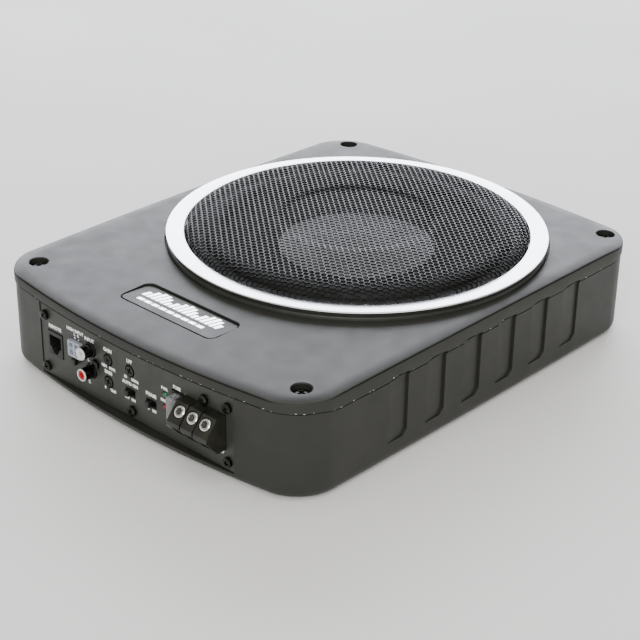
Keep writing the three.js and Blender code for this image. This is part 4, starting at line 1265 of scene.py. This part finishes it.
def makeClampScrews():
    for index, (name, x) in enumerate(clamps["places"].items()):
        aimedPiece(f"{name}ClampScrew", hexHead(clampKind), clamps["out"], clampFoot(x),
                   materials["nickel"], "nickel_plate", body=f"{name}_clamp",
                   stands=(f"terminal_screw_{index + 1}",))


# Black hexagon prisms at the floors of the sockets: painted shade deep in the hexagon sockets,
# which look almost black.
def makeSocketShadePrisms():
    angle = (np.arange(6) + 0.5) / 6 * full
    hexagon = np.stack([np.cos(angle), np.sin(angle)], axis=-1) * clamps["socket"]
    for name, x in clamps["places"].items():
        low, high = [aimed(np.column_stack([hexagon, np.full(6, z)]), clamps["out"], clampFoot(x))
                     for z in clamps["socketZ"]]
        newPiece(f"{name}ClampSocket", *prismTool(low, high), materials["black"],
                 "nickel_plate", body=f"{name}_clamp")


contacts = {"x": -65.3, "count": 6, "pitch": 1.02, "half": 0.2, "y": (-139.5, -133),
            "z": (29.6, 30.0)}


# Plated spring contacts inside the modular jack.
def makeJackContacts():
    tools = []
    for step in range(contacts["count"]):
        x = contacts["x"] + (step - (contacts["count"] - 1) / 2) * contacts["pitch"]
        low, high = zip(contacts["y"], contacts["z"])
        tools.append(boxTool((x - contacts["half"], *low), (x + contacts["half"], *high)))
    newPiece("jackContacts", *joinedTools(tools), materials["nickel"], "nickel_plate")


# Words and numbers printed beside the controls: text, x, z and letter height.
legends = [
    ("REMOTE", -65.3, 36.4, 1.9), ("HIGH INPUT", -47.6, 41.0, 1.7), ("L   R", -46.6, 38.8, 1.4),
    ("+   -", -46.6, 36.6, 1.6), ("INPUT", -35.6, 39.9, 1.9), ("L", -37.0, 27.3, 1.9),
    ("R", -37.0, 13.4, 1.9),
    ("GAIN", -20.3, 39.3, 1.9), ("MIN", -23.6, 29.1, 1.5), ("MAX", -17.0, 29.1, 1.5),
    ("BASS", -20.3, 25.7, 1.9), ("0", -23.4, 15.6, 1.5), ("12dB", -17.0, 15.6, 1.5),
    ("LPF", -2.5, 39.3, 1.9), ("50", -6.0, 29.1, 1.5), ("150Hz", 1.4, 29.1, 1.5),
    ("AUTO ON", -2.5, 25.6, 1.8), ("OFF", -5.4, 16.6, 1.4), ("ON", -0.2, 16.6, 1.4),
    ("PHASE", 14.3, 25.6, 1.9), ("0", 12.0, 16.6, 1.5), ("180", 16.4, 16.6, 1.5),
    ("PWR", 25.2, 34.0, 1.5), ("PROT", 25.0, 26.6, 1.5), ("FUSE", 35.0, 38.0, 1.8),
    ("GND", 46.6, 14.2, 1.7), ("REM", 56.5, 14.2, 1.7), ("+12V", 67.2, 14.2, 1.7),
]


letters = {"sizeFactor": 1.5, "heavier": 0.16, "thick": 0.02, "proud": 0.05}


# All legends as one thin mesh that stands on the panel's face.
def makeLegends():
    work = bmesh.new()
    for text, x, z, size in legends:
        curve = bpy.data.curves.new("word", "FONT")
        curve.body = text
        curve.size = size * letters["sizeFactor"] * mm
        curve.offset = letters["heavier"] * mm
        curve.align_x = "CENTER"
        curve.align_y = "BOTTOM_BASELINE"
        curve.extrude = letters["thick"] * mm
        curve.resolution_u = 2
        holder = addObject("word", curve)
        bpy.context.view_layer.update()
        graph = bpy.context.evaluated_depsgraph_get()
        word = bpy.data.meshes.new_from_object(holder.evaluated_get(graph))
        turn = Matrix.Rotation(math.pi / 2, 4, "X")
        place = Matrix.Translation(Vector((x, panelY - letters["proud"], z)) * mm)
        word.transform(place @ turn)
        work.from_mesh(word)
        bpy.data.objects.remove(holder)
        bpy.data.curves.remove(curve)
        bpy.data.meshes.remove(word)
    mesh = bpy.data.meshes.new("panelLegends")
    work.to_mesh(mesh)
    work.free()
    obj = addObject("panelLegends", mesh)
    finishPiece(obj, materials["ink"], "enclosure", ())


makeRefined()
makeRcaJacks()
makeRcaSleeveShades()
makeAdjusters()
makeLevers()
makeLamps()
makeFuse()
makeClampScrews()
makeSocketShadePrisms()
makeJackContacts()
makeLegends()
print("controls made")


# CAD nodes that stay as they are and only get a finish.
keptNodes = {
    "cover_seal": "foam", "driver_basket": "basket", "filter_inductor": "copper",
    "capacitor_left": "sleeve", "capacitor_right": "sleeve",
}
for node, finish in keptNodes.items():
    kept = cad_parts[node]
    kept.data.materials.clear()
    kept.data.materials.append(materials[finish])


studio = {
    "azimuth": 42.88, "elevation": 27.23, "roll": 0.88, "distance": 960.2, "lens": 92.3,
    "target": (10.8, -9.8, 20.8), "floor": 16000, "floorZ": -0.2, "worldTint": "#fffdf8",
    "worldStrength": 0.5,
}
lights = [
    {"name": "backSoftbox", "place": (-1.47, 1.59, 0.82), "aim": (0, 0, 0.05), "size": (2.8, 1.3),
     "brightness": 7.9, "tint": "#f1f5ff"},
    {"name": "overheadSoftbox", "place": (0.3, -0.1, 1.7), "aim": (0, 0, 0), "size": (1.5, 1.5),
     "brightness": 1.4, "tint": "#ffffff"},
    {"name": "frontFill", "place": (1.3, -2.0, 1.5), "aim": (0, 0, 0), "size": (1.6, 1.6),
     "brightness": 6.0, "tint": "#ffffff"},
]


def makeCamera():
    camera = bpy.data.cameras.new("camera")
    camera.lens = studio["lens"]
    camera.sensor_width = 36
    camera.clip_end = 20
    obj = addObject("camera", camera)
    a, e = math.radians(studio["azimuth"]), math.radians(studio["elevation"])
    back = Vector((math.sin(a) * math.cos(e), -math.cos(a) * math.cos(e), math.sin(e)))
    obj.location = (Vector(studio["target"]) + back * studio["distance"]) * mm
    level = (-back).to_track_quat("-Z", "Y")
    obj.rotation_mode = "QUATERNION"
    obj.rotation_quaternion = level @ Quaternion((0, 0, 1), math.radians(studio["roll"]))
    bpy.context.scene.camera = obj


# A rectangular softbox whose surface has the given brightness.
def softLight(settings):
    light = bpy.data.lights.new(settings["name"], "AREA")
    light.shape = "RECTANGLE"
    light.size, light.size_y = settings["size"]
    light.energy = settings["brightness"] * math.pi * light.size * light.size_y
    light.color = linear(settings["tint"])[:3]
    obj = addObject(settings["name"], light)
    obj.location = settings["place"]
    obj.rotation_mode = "QUATERNION"
    towards = Vector(settings["aim"]) - Vector(settings["place"])
    obj.rotation_quaternion = towards.to_track_quat("-Z", "Y")


def makeStudio():
    half, level = studio["floor"] / 2, studio["floorZ"]
    flat = [(-half, -half), (half, -half), (half, half), (-half, half)]
    mesh = bpy.data.meshes.new("studioFloor")
    mesh.from_pydata([(x * mm, y * mm, level * mm) for x, y in flat], [], [(0, 1, 2, 3)])
    mesh.materials.append(materials["floor"])
    addObject("studioFloor", mesh)
    world = bpy.data.worlds.new("studioWorld")
    world.use_nodes = True
    background = world.node_tree.nodes["Background"]
    background.inputs["Color"].default_value = linear(studio["worldTint"])
    background.inputs["Strength"].default_value = studio["worldStrength"]
    bpy.context.scene.world = world
    for settings in lights:
        softLight(settings)


makeCamera()
makeStudio()
print("studio made")
